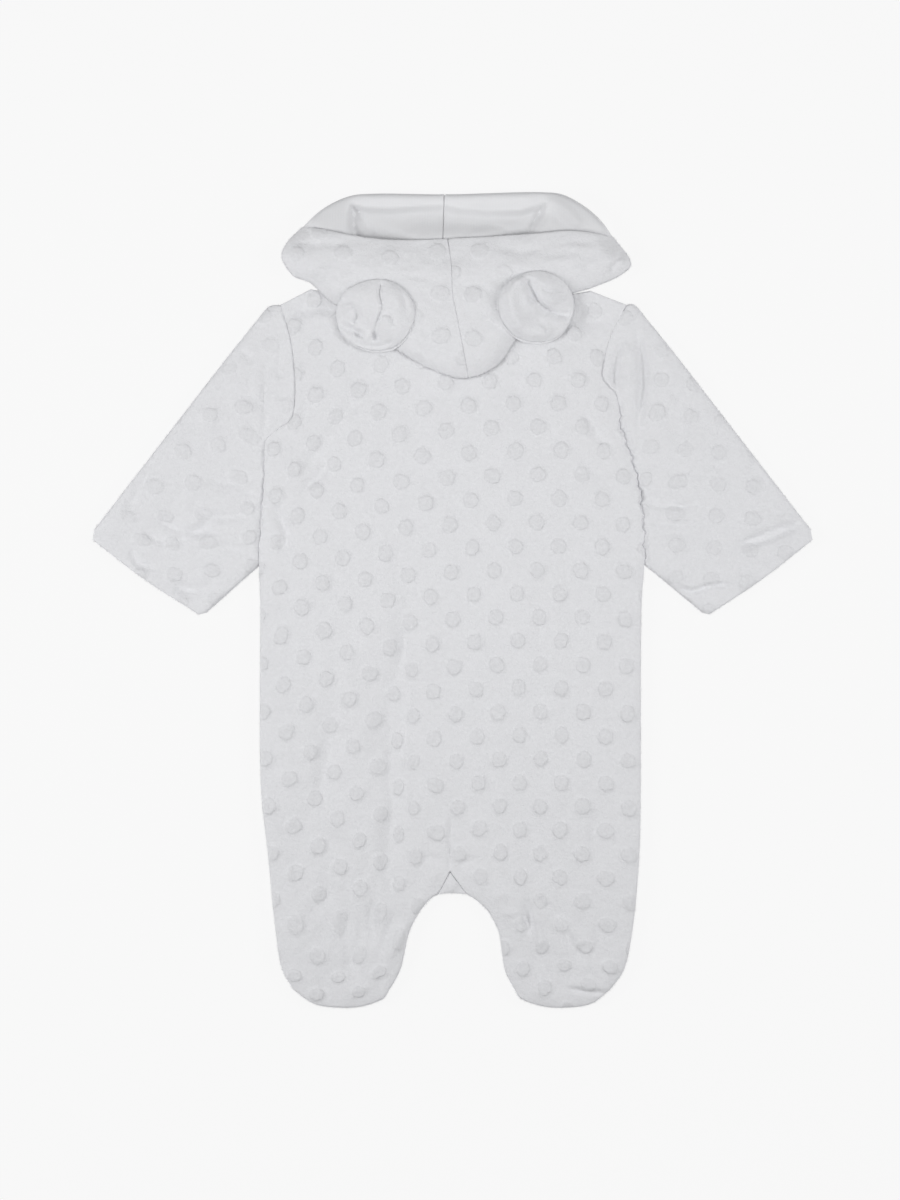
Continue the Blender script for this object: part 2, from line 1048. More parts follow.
def nap_group() -> bpy.types.NodeTree:
    """Makes the group for the short pile of the plush.

    Returns:
        A group with outputs Height, for a bump, and Tint, which is 1 on average.
    """
    group = new_group(
        "Short nap",
        [("Position", "NodeSocketVector", 0.0), ("Depth", "NodeSocketFloat", 0.05)],
        ["Height", "Tint"],
    )
    n = Nodes(group)
    start = n.add("NodeGroupInput")
    where = start.outputs["Position"]
    fine = n.noise(where, 1150.0, 2.0)
    tufts = n.noise(where, 420.0, 1.0)
    brushed = n.noise(where, 70.0, 2.0)
    pile = n.sum("ADD", n.sum("MULTIPLY", fine, 0.45), n.sum("MULTIPLY", tufts, 0.55))
    height = n.sum("ADD", pile, n.sum("MULTIPLY", brushed, 0.5))
    patches = n.sum("MULTIPLY", n.sum("SUBTRACT", brushed, 0.5), 0.2)
    shade = n.sum("ADD", n.sum("SUBTRACT", pile, 0.5), patches)
    tint = n.sum("ADD", 1.0, n.sum("MULTIPLY", shade, start.outputs["Depth"]))
    end = n.add("NodeGroupOutput")
    n.feed(end, "Height", height)
    n.feed(end, "Tint", tint)
    return group


def shared_group(name: str, maker: Callable[[], bpy.types.NodeTree]) -> bpy.types.NodeTree:
    """Returns a group by name, made at its first use."""
    return bpy.data.node_groups.get(name) or maker()


@dataclass(frozen=True)
class Finish:
    """A material of the suit.

    Attributes:
        name: Name of the material.
        colour: Base colour, linear.
        roughness: Roughness of its surface.
        sheen: Strength of the soft glow at grazing angles.
    """

    name: str
    colour: tuple[float, float, float]
    roughness: float
    sheen: float

    def start(self) -> tuple[bpy.types.Material, Nodes, bpy.types.Node]:
        """Makes the material with its fixed numbers set on the shader.

        Returns:
            The material, a node helper and the shader node.
        """
        material = bpy.data.materials.new(self.name)
        material.use_nodes = True
        nodes = Nodes(material.node_tree)
        shader = next(n for n in material.node_tree.nodes if n.type == "BSDF_PRINCIPLED")
        shader.inputs["Base Color"].default_value = (*self.colour, 1.0)
        shader.inputs["Roughness"].default_value = self.roughness
        shader.inputs["Specular IOR Level"].default_value = 0.12
        shader.inputs["Sheen Weight"].default_value = self.sheen
        shader.inputs["Sheen Roughness"].default_value = 0.55
        material.diffuse_color = (*self.colour, 1.0)
        return material, nodes, shader

    def tinted(self, nodes: Nodes, tint: bpy.types.NodeSocket) -> bpy.types.NodeSocket:
        """Scales the base colour by a number near 1.

        Args:
            nodes: Node helper of the material's tree.
            tint: Number near 1.

        Returns:
            The colour.
        """
        node = nodes.add("ShaderNodeVectorMath", operation="SCALE")
        node.inputs[0].default_value = self.colour
        nodes.feed(node, "Scale", tint)
        return node.outputs[0]

    def build(self) -> bpy.types.Material:
        """Makes the material; each finish has its own way."""
        raise NotImplementedError


@dataclass(frozen=True)
class PlushFinish(Finish):
    """Short plush with raised dots.

    Attributes:
        along: Half the distance between dots in a row; 0 leaves the plush plain.
        across: Distance between rows.
        dot_shade: How much darker the flat top of a dot looks.
        rim_light: How much lighter the ring round a dot looks.
    """

    along: float = 15.0
    across: float = 15.75
    dot_shade: float = 0.04
    rim_light: float = 0.02

    def build(self) -> bpy.types.Material:
        """Makes the plush.

        Returns:
            The material.
        """
        material, n, shader = self.start()
        nap = n.add("ShaderNodeGroup", node_tree=shared_group("Short nap", nap_group))
        n.feed(nap, "Position", n.place())
        nap.inputs["Depth"].default_value = 0.16
        tint = nap.outputs["Tint"]
        normal = None
        if self.along:
            dots = n.add("ShaderNodeGroup", node_tree=shared_group("Raised dots", dot_group))
            where = n.place()
            uneven = n.add("ShaderNodeTexNoise")
            n.feed(uneven, "Vector", where)
            uneven.inputs["Scale"].default_value = 160.0
            stray = n.add("ShaderNodeVectorMath", operation="MULTIPLY_ADD")
            n.feed(stray, 0, uneven.outputs["Color"])
            stray.inputs[1].default_value = (0.18, 0.18, 0.0)
            stray.inputs[2].default_value = (-0.09, -0.09, 0.0)
            moved = n.add("ShaderNodeVectorMath", operation="ADD")
            n.feed(moved, 0, n.add("ShaderNodeUVMap", uv_map="Cloth").outputs["UV"])
            n.feed(moved, 1, stray.outputs[0])
            n.feed(dots, "Places", moved.outputs[0])
            standing = n.add("ShaderNodeAttribute", attribute_name="Standing").outputs["Fac"]
            dots.inputs["Along"].default_value = self.along
            dots.inputs["Across"].default_value = self.across
            dots.inputs["Radius"].default_value = 5.1
            disc = n.sum("MULTIPLY", dots.outputs["Disc"], standing)
            rim = n.sum("MULTIPLY", dots.outputs["Rim"], standing)
            grain = n.between(
                n.noise(where, 520.0, 2.0), 0.3, 0.7, -1.6 * self.dot_shade, -0.4 * self.dot_shade)
            shade = n.sum("MULTIPLY", disc, grain)
            light = n.sum("MULTIPLY", rim, self.rim_light)
            tint = n.sum("MULTIPLY", tint, n.sum("ADD", 1.0, n.sum("ADD", shade, light)))
            normal = n.bump(disc, 0.00035)
        n.feed(shader, "Base Color", self.tinted(n, tint))
        n.feed(shader, "Normal", n.bump(nap.outputs["Height"], 0.0007, normal))
        return material


@dataclass(frozen=True)
class JerseyFinish(Finish):
    """Smooth fine knit.

    Attributes:
        wale: Width of one column of stitches.
        double: How much paler the double layer of the hem looks.
    """

    wale: float = 0.0009
    double: float = 0.12

    def build(self) -> bpy.types.Material:
        """Makes the knit.

        Returns:
            The material.
        """
        material, n, shader = self.start()
        where = n.place()
        ribs = n.add("ShaderNodeTexWave", wave_type="BANDS", bands_direction="X")
        n.feed(ribs, "Vector", where)
        ribs.inputs["Scale"].default_value = 1 / (2 * self.wale) / 3.2
        ribs.inputs["Distortion"].default_value = 0.6
        fine = n.noise(where, 900.0, 2.0)
        soft = n.noise(where, 45.0, 2.0)
        knit = n.sum("ADD", n.sum("MULTIPLY", ribs.outputs["Fac"], 0.22), n.sum("MULTIPLY", fine, 0.78))
        shade = n.sum("ADD", n.sum("SUBTRACT", knit, 0.5), n.sum("SUBTRACT", soft, 0.5))
        tint = n.sum("ADD", 1.0, n.sum("MULTIPLY", shade, 0.05))
        hem = n.add("ShaderNodeAttribute", attribute_name="Standing").outputs["Fac"]
        tint = n.sum("ADD", tint, n.sum("MULTIPLY", hem, self.double))
        n.feed(shader, "Base Color", self.tinted(n, tint))
        n.feed(shader, "Normal", n.bump(knit, 0.00012, n.bump(soft, 0.0004)))
        return material


@dataclass(frozen=True)
class TapeFinish(Finish):
    """Woven tape of the zip, a fine herringbone."""

    def build(self) -> bpy.types.Material:
        """Makes the weave.

        Returns:
            The material.
        """
        material, n, shader = self.start()
        where = n.place()
        parts = n.add("ShaderNodeSeparateXYZ")
        n.feed(parts, 0, where)
        zigzag = n.sum("PINGPONG", parts.outputs[0], 0.0012)
        slant = n.sum("MULTIPLY", n.sum("ADD", parts.outputs[1], zigzag), 2 * math.pi / 0.0007)
        twill = n.sum("MULTIPLY", n.sum("ADD", n.sum("SINE", slant), 1.0), 0.5)
        tint = n.sum("ADD", 0.97, n.sum("MULTIPLY", twill, 0.05))
        n.feed(shader, "Base Color", self.tinted(n, tint))
        n.feed(shader, "Normal", n.bump(twill, 0.0001))
        return material


@dataclass(frozen=True)
class ThreadFinish(Finish):
    """Twisted sewing thread, and the moulded coil of the zip.

    Attributes:
        twist: Length of one turn of the ply; 0 leaves it smooth.
    """

    twist: float = 0.0008

    def build(self) -> bpy.types.Material:
        """Makes the thread.

        Returns:
            The material.
        """
        material, n, shader = self.start()
        where = n.place()
        grain = n.noise(where, 1 / max(self.twist, 0.0004), 1.0)
        tint = n.sum("ADD", 0.97, n.sum("MULTIPLY", grain, 0.06))
        n.feed(shader, "Base Color", self.tinted(n, tint))
        n.feed(shader, "Normal", n.bump(grain, 0.00008))
        return material


@dataclass(frozen=True)
class FloorFinish(Finish):
    """Pale seamless floor that shows almost no shadow.

    Attributes:
        glow: Share of its brightness that is its own.
    """

    glow: float = 0.9

    def build(self) -> bpy.types.Material:
        """Makes the floor.

        Returns:
            The material.
        """
        material, n, shader = self.start()
        where = n.place()
        tint = n.sum("ADD", 0.998, n.sum("MULTIPLY", n.noise(where, 6.0, 1.0), 0.004))
        n.feed(shader, "Base Color", self.tinted(n, tint))
        shader.inputs["Emission Color"].default_value = (1.0, 1.0, 1.0, 1.0)
        shader.inputs["Emission Strength"].default_value = self.glow
        return material


# ---- Plan of the body ----


@dataclass(frozen=True)
class BodyPlan:
    """Outline of the body, shared by the back, the fronts and the sleeves.

    Attributes:
        sections: Height, left edge and right edge, from the shoulder to the foot.
        legs: The same for the inner edges of the legs.
        toe_x: Distance of each toe from the middle.
        toe_y: Lowest point of a foot.
        step: Spacing of outline points.
    """

    sections: tuple[tuple[float, float, float], ...] = (
        (197, -115, 116.2), (178, -109, 106.5), (160, -106, 101), (149, -105.2, 99.6),
        (143, -105, 103.5), (138, -105, 108.5), (130, -105.4, 111.2), (121, -107.6, 112),
        (114, -116.5, 112.8), (107, -124.6, 115.6), (92, -125.7, 120.4), (76, -126.2, 124.8),
        (54, -128, 127.2), (30, -129.6, 128.8), (0, -128.6, 126.5), (-127, -128, 125.8), (-168, -123.6, 125),
        (-221, -118.3, 120.3), (-248, -113.6, 114.2), (-261, -106, 105),
    )
    legs: tuple[tuple[float, float, float], ...] = (
        (-208, -21.8, 23.8), (-221, -28.5, 30.5), (-248, -35.2, 35.2), (-261, -42.5, 41.9),
        (-266, -45.5, 44.9),
    )
    toe_x: float = 76.7
    toe_y: float = -272.6
    step: float = 1.5

    def even_side(self, side: Side) -> Points:
        """Outer edge from the shoulder down to the foot, without its ragged fold."""
        column = 1 if side is Side.LEFT else 2
        return soft_run([(row[column], row[0]) for row in self.sections], self.step)

    def side(self, side: Side) -> Points:
        """Outer edge from the shoulder down to the foot.

        Args:
            side: Which side.

        Returns:
            Plan points.
        """
        run = self.even_side(side)
        folded = smooth((run[:, 1] - 22) / 12) * smooth(((98 if side is Side.LEFT else 132) - run[:, 1]) / 12)
        ragged = 0.55 * np.sin(0.47 * run[:, 1]) + 0.4 * np.sin(1.13 * run[:, 1] + 1)
        run[:, 0] += folded * ragged * (0.45 if side is Side.LEFT else 1.2)
        return run

    def neck(self) -> Points:
        """Neck edge from left to right, dipping at the middle."""
        t = np.linspace(0, 1, 120)
        return np.c_[-94.8 + 186.9 * t, 207.4 - t - 36 * t * (1 - t)]

    def foot(self, side: Side) -> Points:
        """Round one foot, from the outer edge of the leg to its inner edge.

        Args:
            side: Which side.

        Returns:
            Plan points.
        """
        column = 1 if side is Side.LEFT else 2
        x = side.value * self.toe_x
        knots = [
            (self.sections[-1][column], self.sections[-1][0]),
            (x + side.value * 16, self.toe_y + 2.6), (x, self.toe_y),
            (x - side.value * 16, self.toe_y + 0.8),
            *((row[column], row[0]) for row in reversed(self.legs)),
        ]
        return soft_run(knots, self.step)

    def crotch(self, notched: bool) -> Points:
        """Between the legs, from left to right.

        Args:
            notched: Whether the gusset's notch is cut out.

        Returns:
            Plan points.
        """
        y, left, right = self.legs[0]
        if not notched:
            return soft_run([(left, y), (-12, -198), (-1, -196), (12, -198), (right, y)], self.step)
        return np.vstack([
            soft_run([(left, y), (-15.5, -200.5), (-9.4, -196.6)], self.step),
            even_run([(-9.4, -196.6), (ZIP_X, -181.7)], self.step),
            even_run([(ZIP_X, -181.7), (9.2, -196.6)], self.step),
            soft_run([(9.2, -196.6), (15.5, -200.5), (right, y)], self.step),
        ])

    def free_edges(self) -> tuple[Points, ...]:
        """Edges where the back bends down to the front: below the sleeves and round the legs.

        Returns:
            Three edges.
        """
        left, right = self.side(Side.LEFT), self.side(Side.RIGHT)
        return (
            np.vstack([left[left[:, 1] < 20], self.foot(Side.LEFT)]),
            np.vstack([right[right[:, 1] < 20], self.foot(Side.RIGHT)]),
            self.crotch(False),
        )

    def armholes(self) -> tuple[Points, Points]:
        """Edges that are seen as fine seam lines, from the shoulders down to the folds."""
        left, right = self.side(Side.LEFT), self.side(Side.RIGHT)
        return left[left[:, 1] > 104], right[right[:, 1] > 136]

    def overlaps(self) -> tuple[Points, Points]:
        """Edges that lie over a sleeve, from the end of the seam line to the sleeve's corner.

        Returns:
            Left and right edge.
        """
        left, right = self.side(Side.LEFT), self.side(Side.RIGHT)
        return (left[(left[:, 1] < 102) & (left[:, 1] > 20)],
                right[(right[:, 1] < 133) & (right[:, 1] > 20)])

    def outline(self) -> Points:
        """The whole back panel.

        Returns:
            An anticlockwise outline.
        """
        return close_outline(
            self.neck()[::-1], self.side(Side.LEFT), self.foot(Side.LEFT), self.crotch(True),
            self.foot(Side.RIGHT)[::-1], self.side(Side.RIGHT)[::-1],
        )


BODY = BodyPlan()


@dataclass
class BackPanel:
    """The dotted back of the body and legs, one piece from neck to feet.

    Attributes:
        cut: Its flat size.
        relief: Its creases and unevenness.
        dots: Its rows of raised dots.
    """

    cut: Cut = Cut(0.262, 0.476, 0.11)
    relief: tuple[Relief, ...] = (
        Crease(((-30.5, 6), (-33, -40), (-34.5, -90), (-36, -130), (-40, -153), (-43, -174),
                (-52, -196)), 2.1, 7.5, taper=36),
        Crease(((-32, -18), (-33, -45), (-34, -74)), 0.8, 2.6, taper=16),
        Crease(((-38, -20), (-42, -80), (-48, -150)), 1.7, 14.0, taper=50),
        Crease(((-52, 128), (-80, 98), (-106, 74)), 0.9, 8.0, taper=24),
        Crease(((-38, -96), (-41, -124), (-38, -140)), 0.8, 4.5, taper=16),
        Crease(((-77, -50), (-82, -90), (-86, -120), (-88, -150)), 1.8, 7.0, taper=30),
        Crease(((-72, -62), (-71, -84), (-74, -108)), 0.7, 3.0, taper=12),
        Crease(((-58, -70), (-60, -110)), -0.6, 8.0, taper=20),
        Valley(((99.5, 150), (98.6, 138), (99.4, 126.7), (105, 105), (113.7, 87), (121, 74)), 0.4, 2.2),
        Crease(((57, 20), (59, -40), (58, -100)), 0.9, 5.0, taper=40),
        Crease(((86, 10), (84, -50)), 0.6, 5.0, taper=26),
        Crease(((-26, 8), (-31, -8)), 1.3, 5.0, taper=8),
        Crease(((-120, 66), (-112, 48), (-108, 33)), 1.8, 3.6),
        Hollow(-113, 37, 2.0, 4, 5),
        Crease(((-58, 138), (-70, 126), (-82, 112)), 1.3, 4.5),
        Crease(((-72, 122), (-88, 102), (-104, 84)), 1.2, 5.0),
        Crease(((-76, 98), (-90, 82), (-104, 70)), 1.6, 3.6),
        Crease(((-88, 140), (-98, 126), (-103, 112)), 1.0, 4.5),
        Crease(((84, 132), (96, 112), (104, 96)), 1.3, 4.0),
        Crease(((88, 90), (104, 78)), 0.9, 4.0),
        Crease(((-55, -197), (-52, -233)), 1.6, 4.0),
        Crease(((-71, -205), (-68, -256)), 1.5, 4.5),
        Crease(((-84, -185), (-84, -212)), 0.9, 4.0),
        Crease(((-36, -205), (-50, -240)), 1.1, 3.0),
        Crease(((-27, -212), (-47, -246)), -1.2, 3.6),
        Crease(((-34, -178), (-44, -198)), 0.8, 4.0),
        Crease(((49, -198), (52, -226)), 1.8, 3.0, taper=10),
        Crease(((53, -203), (62, -238)), -1.2, 3.0),
        Crease(((27, -208), (52, -210)), -0.9, 2.4),
        Crease(((92, -226), (78, -244)), 1.0, 2.6),
        Crease(((74, -259), (90, -261.5), (107, -262.4)), 1.5, 1.8, step=0.7, step_width=6, taper=8),
        Crease(((-72, -260), (-50, -258)), -0.8, 3.0, taper=10),
        Valley(((ZIP_X + 0.5, -138), (ZIP_X, -165), (ZIP_X, -186)), 1.6, 3.4, 16),
        Crease(((-3, -176), (-24, -170)), 0.9, 3.0, taper=8),
        Crease(((1, -178), (22, -172)), 0.8, 3.0, taper=8),
        Crease(((-108, 191), (-92, 195), (-76, 192)), 2.2, 4.5, taper=10),
        Hollow(94, 189, 2.4, 15, 8),
        Hollow(-52, 150, 1.0, 14, 9, 30), Hollow(42, 146, 0.8, 14, 9, -30),
        Rumple(61, 34, 0, 60, 100, 95, 80, 40, 16, 5.0, 0.42),
        Rumple(62, 46, 0, -110, 105, 80, 88, 22, 20, 4.5, 0.5),
        Rumple(63, 18, -70, -225, 34, 34, 80, 25, 13, 3.2, 0.7),
        Rumple(64, 22, 72, -225, 34, 34, 95, 50, 11, 3.2, 0.6),
        Wander(11, 0.5, 38.0),
        Wander(12, 0.16, 13.0),
    )
    dots: DotRows = DotRows(28, 19.6, 14.4, 15.8, 1.6, bow=4.5, pulls=(
        Pull(80, 110, 4, 1, 45, 40), Pull(-60, 95, -5, -1, 50, 36), Pull(-108, 0, 0, 3, 20, 30),
        Pull(-42, -115, 4, 1, 14, 60), Pull(-24, -145, -3, 2, 11, 50), Pull(20, -165, 0, 2, 20, 40),
        Pull(-85, -180, 7, 1, 45, 95), Pull(75, -200, -5.5, 0, 38, 90),
        Pull(-68, -240, 0, -14, 42, 24), Pull(87, -260, 0, 8, 40, 22)))

    def top(self, points: Points) -> Heights:
        """Height of the back without its dots.

        Args:
            points: Plan points.

        Returns:
            Heights.
        """
        free = np.min([edge_distance(points, edge) for edge in BODY.free_edges()], axis=0)
        left, right = (edge_distance(points, edge) for edge in BODY.overlaps())
        inward = round_off(free, 10)
        height = BACK_CROWN - 1.9 * (1 - inward) - 1.7 * (1 - round_off(left, 5))
        height = height - 2.4 * (1 - round_off(right, 12))
        folds = 1.3 * relief_height(points, self.relief) * (0.3 + 0.7 * inward)
        return np.maximum(height + folds, SEAM_LEVEL + 1.4)

    def under(self, points: Points) -> Heights:
        """Underside of the back, which is pressed thin along the armhole seams."""
        armhole = np.min([edge_distance(points, edge) for edge in BODY.armholes()], axis=0)
        return self.top(points) - 0.9 - (PLUSH - 0.9) * smooth(armhole / 4)

    def standing(self, points: Points) -> Heights:
        """Where the dots show: they flatten out at the crotch and in the folds of the feet.

        Args:
            points: Plan points.

        Returns:
            Share of a dot left at each point.
        """
        parts = (Hollow(ZIP_X, -190, 1.0, 16, 14), Hollow(-62, -222, 0.7, 22, 16),
                 Hollow(62, -214, 0.5, 16, 12), Hollow(-60, 166, 0.5, 26, 10), Hollow(30, -205, 0.8, 14, 12))
        return np.clip(1 + relief_height(points, parts), 0, 1)

    def build(self, finish: bpy.types.Material) -> bpy.types.Object:
        """Makes the panel.

        Args:
            finish: Its plush.

        Returns:
            The piece.
        """
        layer = Layer(
            BODY.outline(), self.top, self.under, grid=1.36, under_grid=6, rim=1.0, dots=self.dots,
            standing=self.standing)
        return cloth_piece(layer.build(), "back_plush", finish, "back_panel")


@dataclass
class CrotchGusset:
    """Small triangle let in between the legs.

    Attributes:
        cut: Its flat size.
        top_y: Its upper corner.
        left: Its left corner.
        right: Its right corner.
        base: Height of both lower corners.
        low: Middle of its lower edge.
    """

    cut: Cut = Cut(0.02, 0.018, 0.00018)
    top_y: float = -181.8
    left: float = -9.7
    right: float = 9.5
    base: float = -196.6
    low: tuple[float, float] = (-1.0, -196.0)

    def build(self, finish: bpy.types.Material) -> bpy.types.Object:
        """Makes the gusset, puffed out between its seams.

        Args:
            finish: Its plush.

        Returns:
            The piece.
        """
        outline = close_outline(even_run([
            (ZIP_X, self.top_y), (self.left, self.base), self.low, (self.right, self.base),
            (ZIP_X, self.top_y)], 0.8), same=0.1)
        puff = (Hollow(-1.2, -190.2, -2.4, 4.8, 5.2), Hollow(-1.4, -194, -0.6, 5, 2))
        low = SEAM_LEVEL + 0.15
        layer = Layer(
            outline,
            lambda p: low + 3.6 + relief_height(p, puff),
            lambda p: np.full(len(p), low - 0.6), grid=0.7, under_grid=2.5, rim=0.4)
        return cloth_piece(layer.build(), "crotch_gusset_plush", finish, "crotch_gusset")


@dataclass
class FrontPanel:
    """One half of the front, flat on the surface under the back.

    Attributes:
        side: Which half.
        cut: Its flat size.
    """

    side: Side
    cut: Cut = Cut(0.131, 0.476, 0.052)

    def outline(self) -> Points:
        """Plan outline, drawn in where the sleeve tucks under the back.

        Returns:
            An anticlockwise outline.
        """
        outward = self.side.value
        zip_edge = ZIP_X + outward * (ZIP_WIDTH / 2 + SEAM_GAP)
        middle = ZIP_X + outward * SEAM_GAP / 2
        neck = BODY.neck()
        neck = neck[(neck[:, 0] - zip_edge) * outward > 0]
        crotch = BODY.crotch(False)
        crotch = crotch[(crotch[:, 0] - middle) * outward > 1.5]
        side = BODY.side(self.side)
        tuck = 5.2 * smooth((side[:, 1] - 12) / 14)
        side = side - np.c_[outward * tuck, np.zeros(len(side))]
        centre = even_run([(middle, -196), (middle, ZIP_END_Y), (zip_edge, ZIP_END_Y), (zip_edge, 197)], 3)
        if self.side is Side.LEFT:
            return close_outline(neck[::-1], side, BODY.foot(self.side), crotch, centre)
        return close_outline(neck, side, BODY.foot(self.side), crotch[::-1], centre)

    def build(self, finish: bpy.types.Material) -> bpy.types.Object:
        """Makes the panel.

        Args:
            finish: Its plush.

        Returns:
            The piece.
        """
        edge = BODY.outline()

        def lift(points: Points) -> Heights:
            """How far the edge is lifted off the surface."""
            return 1 - round_off(edge_distance(points, edge, True), 5)

        layer = Layer(
            self.outline(),
            lambda p: PLUSH + (SEAM_LEVEL - 0.15 - PLUSH) * lift(p),
            lambda p: 0.8 * lift(p), grid=4, under_grid=4, rim=1.2,
            dots=DotRows(14.0, -52, 15.0, 15.75))
        node = f"front_{self.side.word}"
        return cloth_piece(layer.build(), f"{node}_plush", finish, node)


@dataclass
class Sleeve:
    """One sleeve: an upper and a lower layer, joined along its closed edges.

    Attributes:
        side: Which sleeve.
        cut: Its flat size.
        cap: End of the shoulder.
        bend: Where its outer edge turns straight.
        outer: Outer end of that edge.
        corner: Outer corner of the cuff.
        inner: Inner corner of the cuff.
        under: Start of the lower edge.
        dots: Its rows of raised dots.
        relief: Its creases and unevenness.
        faded: Where its dots are flattened.
        foot_y: Where the lower edge meets the body.
        tuck: How far it reaches in under the back.
    """

    side: Side
    cut: Cut
    cap: tuple[float, float]
    bend: tuple[float, float]
    outer: tuple[float, float]
    corner: tuple[float, float]
    inner: tuple[float, float]
    under: tuple[float, float]
    dots: DotRows
    relief: tuple[Relief, ...] = ()
    faded: tuple[Relief, ...] = ()
    foot_y: float = 22.0
    tuck: float = 3.4

    def runs(self) -> tuple[Points, Points, Points, Points]:
        """Its outer edge, cuff, lower edge and the edge tucked under the back.

        Returns:
            Outer edge, cuff, lower edge and tucked edge.
        """
        side = BODY.even_side(self.side)
        side = side[side[:, 1] >= self.foot_y]
        direction = np.gradient(side, axis=0)
        direction /= np.linalg.norm(direction, axis=1)[:, None]
        outward = np.c_[direction[:, 1], -direction[:, 0]]
        outward *= np.sign(outward[:, :1]) * self.side.value
        ragged = BODY.side(self.side)
        self.body_edge = ragged[ragged[:, 1] >= self.foot_y]
        tucked = side - outward * self.tuck
        outer = soft_run([tuple(side[0]), self.cap, self.bend, self.outer], 1.5)
        middle = ((self.corner[0] + self.inner[0]) / 2, (self.corner[1] + self.inner[1]) / 2 - 2)
        cuff = soft_run([self.corner, middle, self.inner], 1.5)
        lower = soft_run([self.under, tuple(side[-1])], 1.5)
        return outer, cuff, lower, tucked

    def top(self, points: Points) -> Heights:
        """Height of the sleeve without its dots.

        Args:
            points: Plan points.

        Returns:
            Heights.
        """
        distance = edge_distance(points, self.body_edge)
        outside = np.where(is_inside(points, self.body_outline), -distance, distance)
        armhole = smooth((points[:, 1] - (96 if self.side is Side.LEFT else 124)) / 14)
        edge = np.minimum(
            edge_distance(points, self.closed_edges[0]), edge_distance(points, self.closed_edges[1]))
        height = 3.8 + (SLEEVE_CROWN - 3.8) * round_off(edge + 1.2, 10)
        height = np.maximum(height + 1.6 * relief_height(points, self.relief), 3.2)
        at_seam = 6.0 + (np.maximum(height, 6.9) - 6.0) * smooth((outside + 0.6) / 1.3)
        at_seam = at_seam + (height - np.maximum(height, 6.9)) * smooth(outside / 6)
        level, reach = (4.6, 4.6) if self.side is Side.LEFT else (3.6, 5.8)
        reach = reach * (1 + 0.3 * np.sin(points[:, 1] / 7.3) + 0.16 * np.sin(points[:, 1] / 2.9 + 1))
        beside = level + (height - level) * np.sqrt(smooth((outside + 0.8) / reach))
        return beside + (at_seam - beside) * armhole

    def build(self, finish: bpy.types.Material) -> bpy.types.Object:
        """Makes the sleeve.

        Args:
            finish: Its plush.

        Returns:
            The piece.
        """
        outer, cuff, lower, tucked = self.runs()
        self.body_outline = BODY.outline()
        self.closed_edges = (outer, lower)
        outline = close_outline(outer, cuff, lower, tucked[::-1])

        def upper_low(points: Points) -> Heights:
            """Underside of the upper layer.

            Args:
                points: Plan points.

            Returns:
                Heights.
            """
            top = self.top(points)
            closed = np.minimum(edge_distance(points, outer), edge_distance(points, lower))
            low = top - PLUSH - 1.4 * (1 - smooth(closed / 6))
            return np.minimum(top - 0.9, np.maximum(low, 1.4))

        def lower_top(points: Points) -> Heights:
            """Top of the lower layer."""
            return np.minimum(PLUSH, self.top(points) - 1.2)

        def lift(points: Points) -> Heights:
            """How far the edge is lifted off the surface."""
            return 0.8 * (1 - round_off(edge_distance(points, outline, True), 5))

        upper = Layer(
            outline, self.top, upper_low, grid=1.5, under_grid=5, rim=1.8, dots=self.dots,
            standing=lambda p: 0.8 * np.clip(1 + relief_height(p, self.faded), 0, 1))
        under = Layer(
            shift_outline(outline, -0.25), lower_top, lift, grid=5, under_grid=5, rim=1.2, dots=self.dots)
        parts = MeshParts.joined([upper.build(), under.build()])
        node = f"sleeve_{self.side.word}"
        return cloth_piece(parts, f"{node}_plush", finish, node)


@dataclass
class FrontZip:
    """Tapes of the front zip, closed, on the side that lies down.

    Attributes:
        cut: Flat size of both tapes.
        top_y: Upper end of the tapes.
    """

    cut: Cut = Cut(0.012, 0.348, 0.0041)
    top_y: float = 197.8

    def build(self, tape: bpy.types.Material) -> bpy.types.Object:
        """Makes the two tapes.

        Args:
            tape: Finish of the tapes.

        Returns:
            The tape piece.
        """
        parts = []
        for outward in (-1, 1):
            inner = ZIP_X + outward * 1.3
            outer = ZIP_X + outward * ZIP_WIDTH / 2
            corners = [(inner, self.top_y), (outer, self.top_y), (outer, ZIP_END_Y + 0.3),
                       (inner, ZIP_END_Y + 0.3), (inner, self.top_y)]
            outline = close_outline(even_run(corners, 2.0))
            parts.append(Layer(
                outline, lambda p: np.full(len(p), 2.3), lambda p: np.full(len(p), 0.7),
                grid=3, under_grid=2, rim=0.5).build())
        return cloth_piece(
            MeshParts.joined(parts), "zip_tape_pair", tape, "front_zip")


FOLD_KNOTS = (
    (-101.1, 248.8), (-111, 238), (-114.2, 229.1), (-106.2, 216.1), (-95, 211.5), (-83.4, 200.5),
    (-60, 184), (-38.5, 167.5), (-15.7, 154.1), (6, 147.6), (19.1, 150.1), (31.2, 157.7),
    (45.2, 176.9), (62, 192), (78.4, 203.5), (93, 208.2), (112.9, 217.1), (119.3, 224),
    (107.9, 242.2),
)
LIP_KNOTS = (
    (107.9, 242.2), (80.1, 245.9), (53.9, 243.9), (-3.7, 240.5), (-41.9, 239.9), (-68.9, 243.2),
    (-88.1, 247.4), (-101.1, 248.8),
)
ROLL_KNOTS = (
    (107.9, 242.2), (97.5, 255.3), (85.4, 264.9), (73.1, 271), (60, 272.4), (-4.4, 271),
    (-52.6, 271.4), (-68, 270), (-85.4, 262.2), (-101.1, 248.8),
)
SEAM_KNOTS = ((-3.2, 240.5), (-0.9, 223.9), (0.3, 201.3), (2.5, 190.8), (5.2, 176.9), (8.9, 157.7),
              (10.5, 148.3))


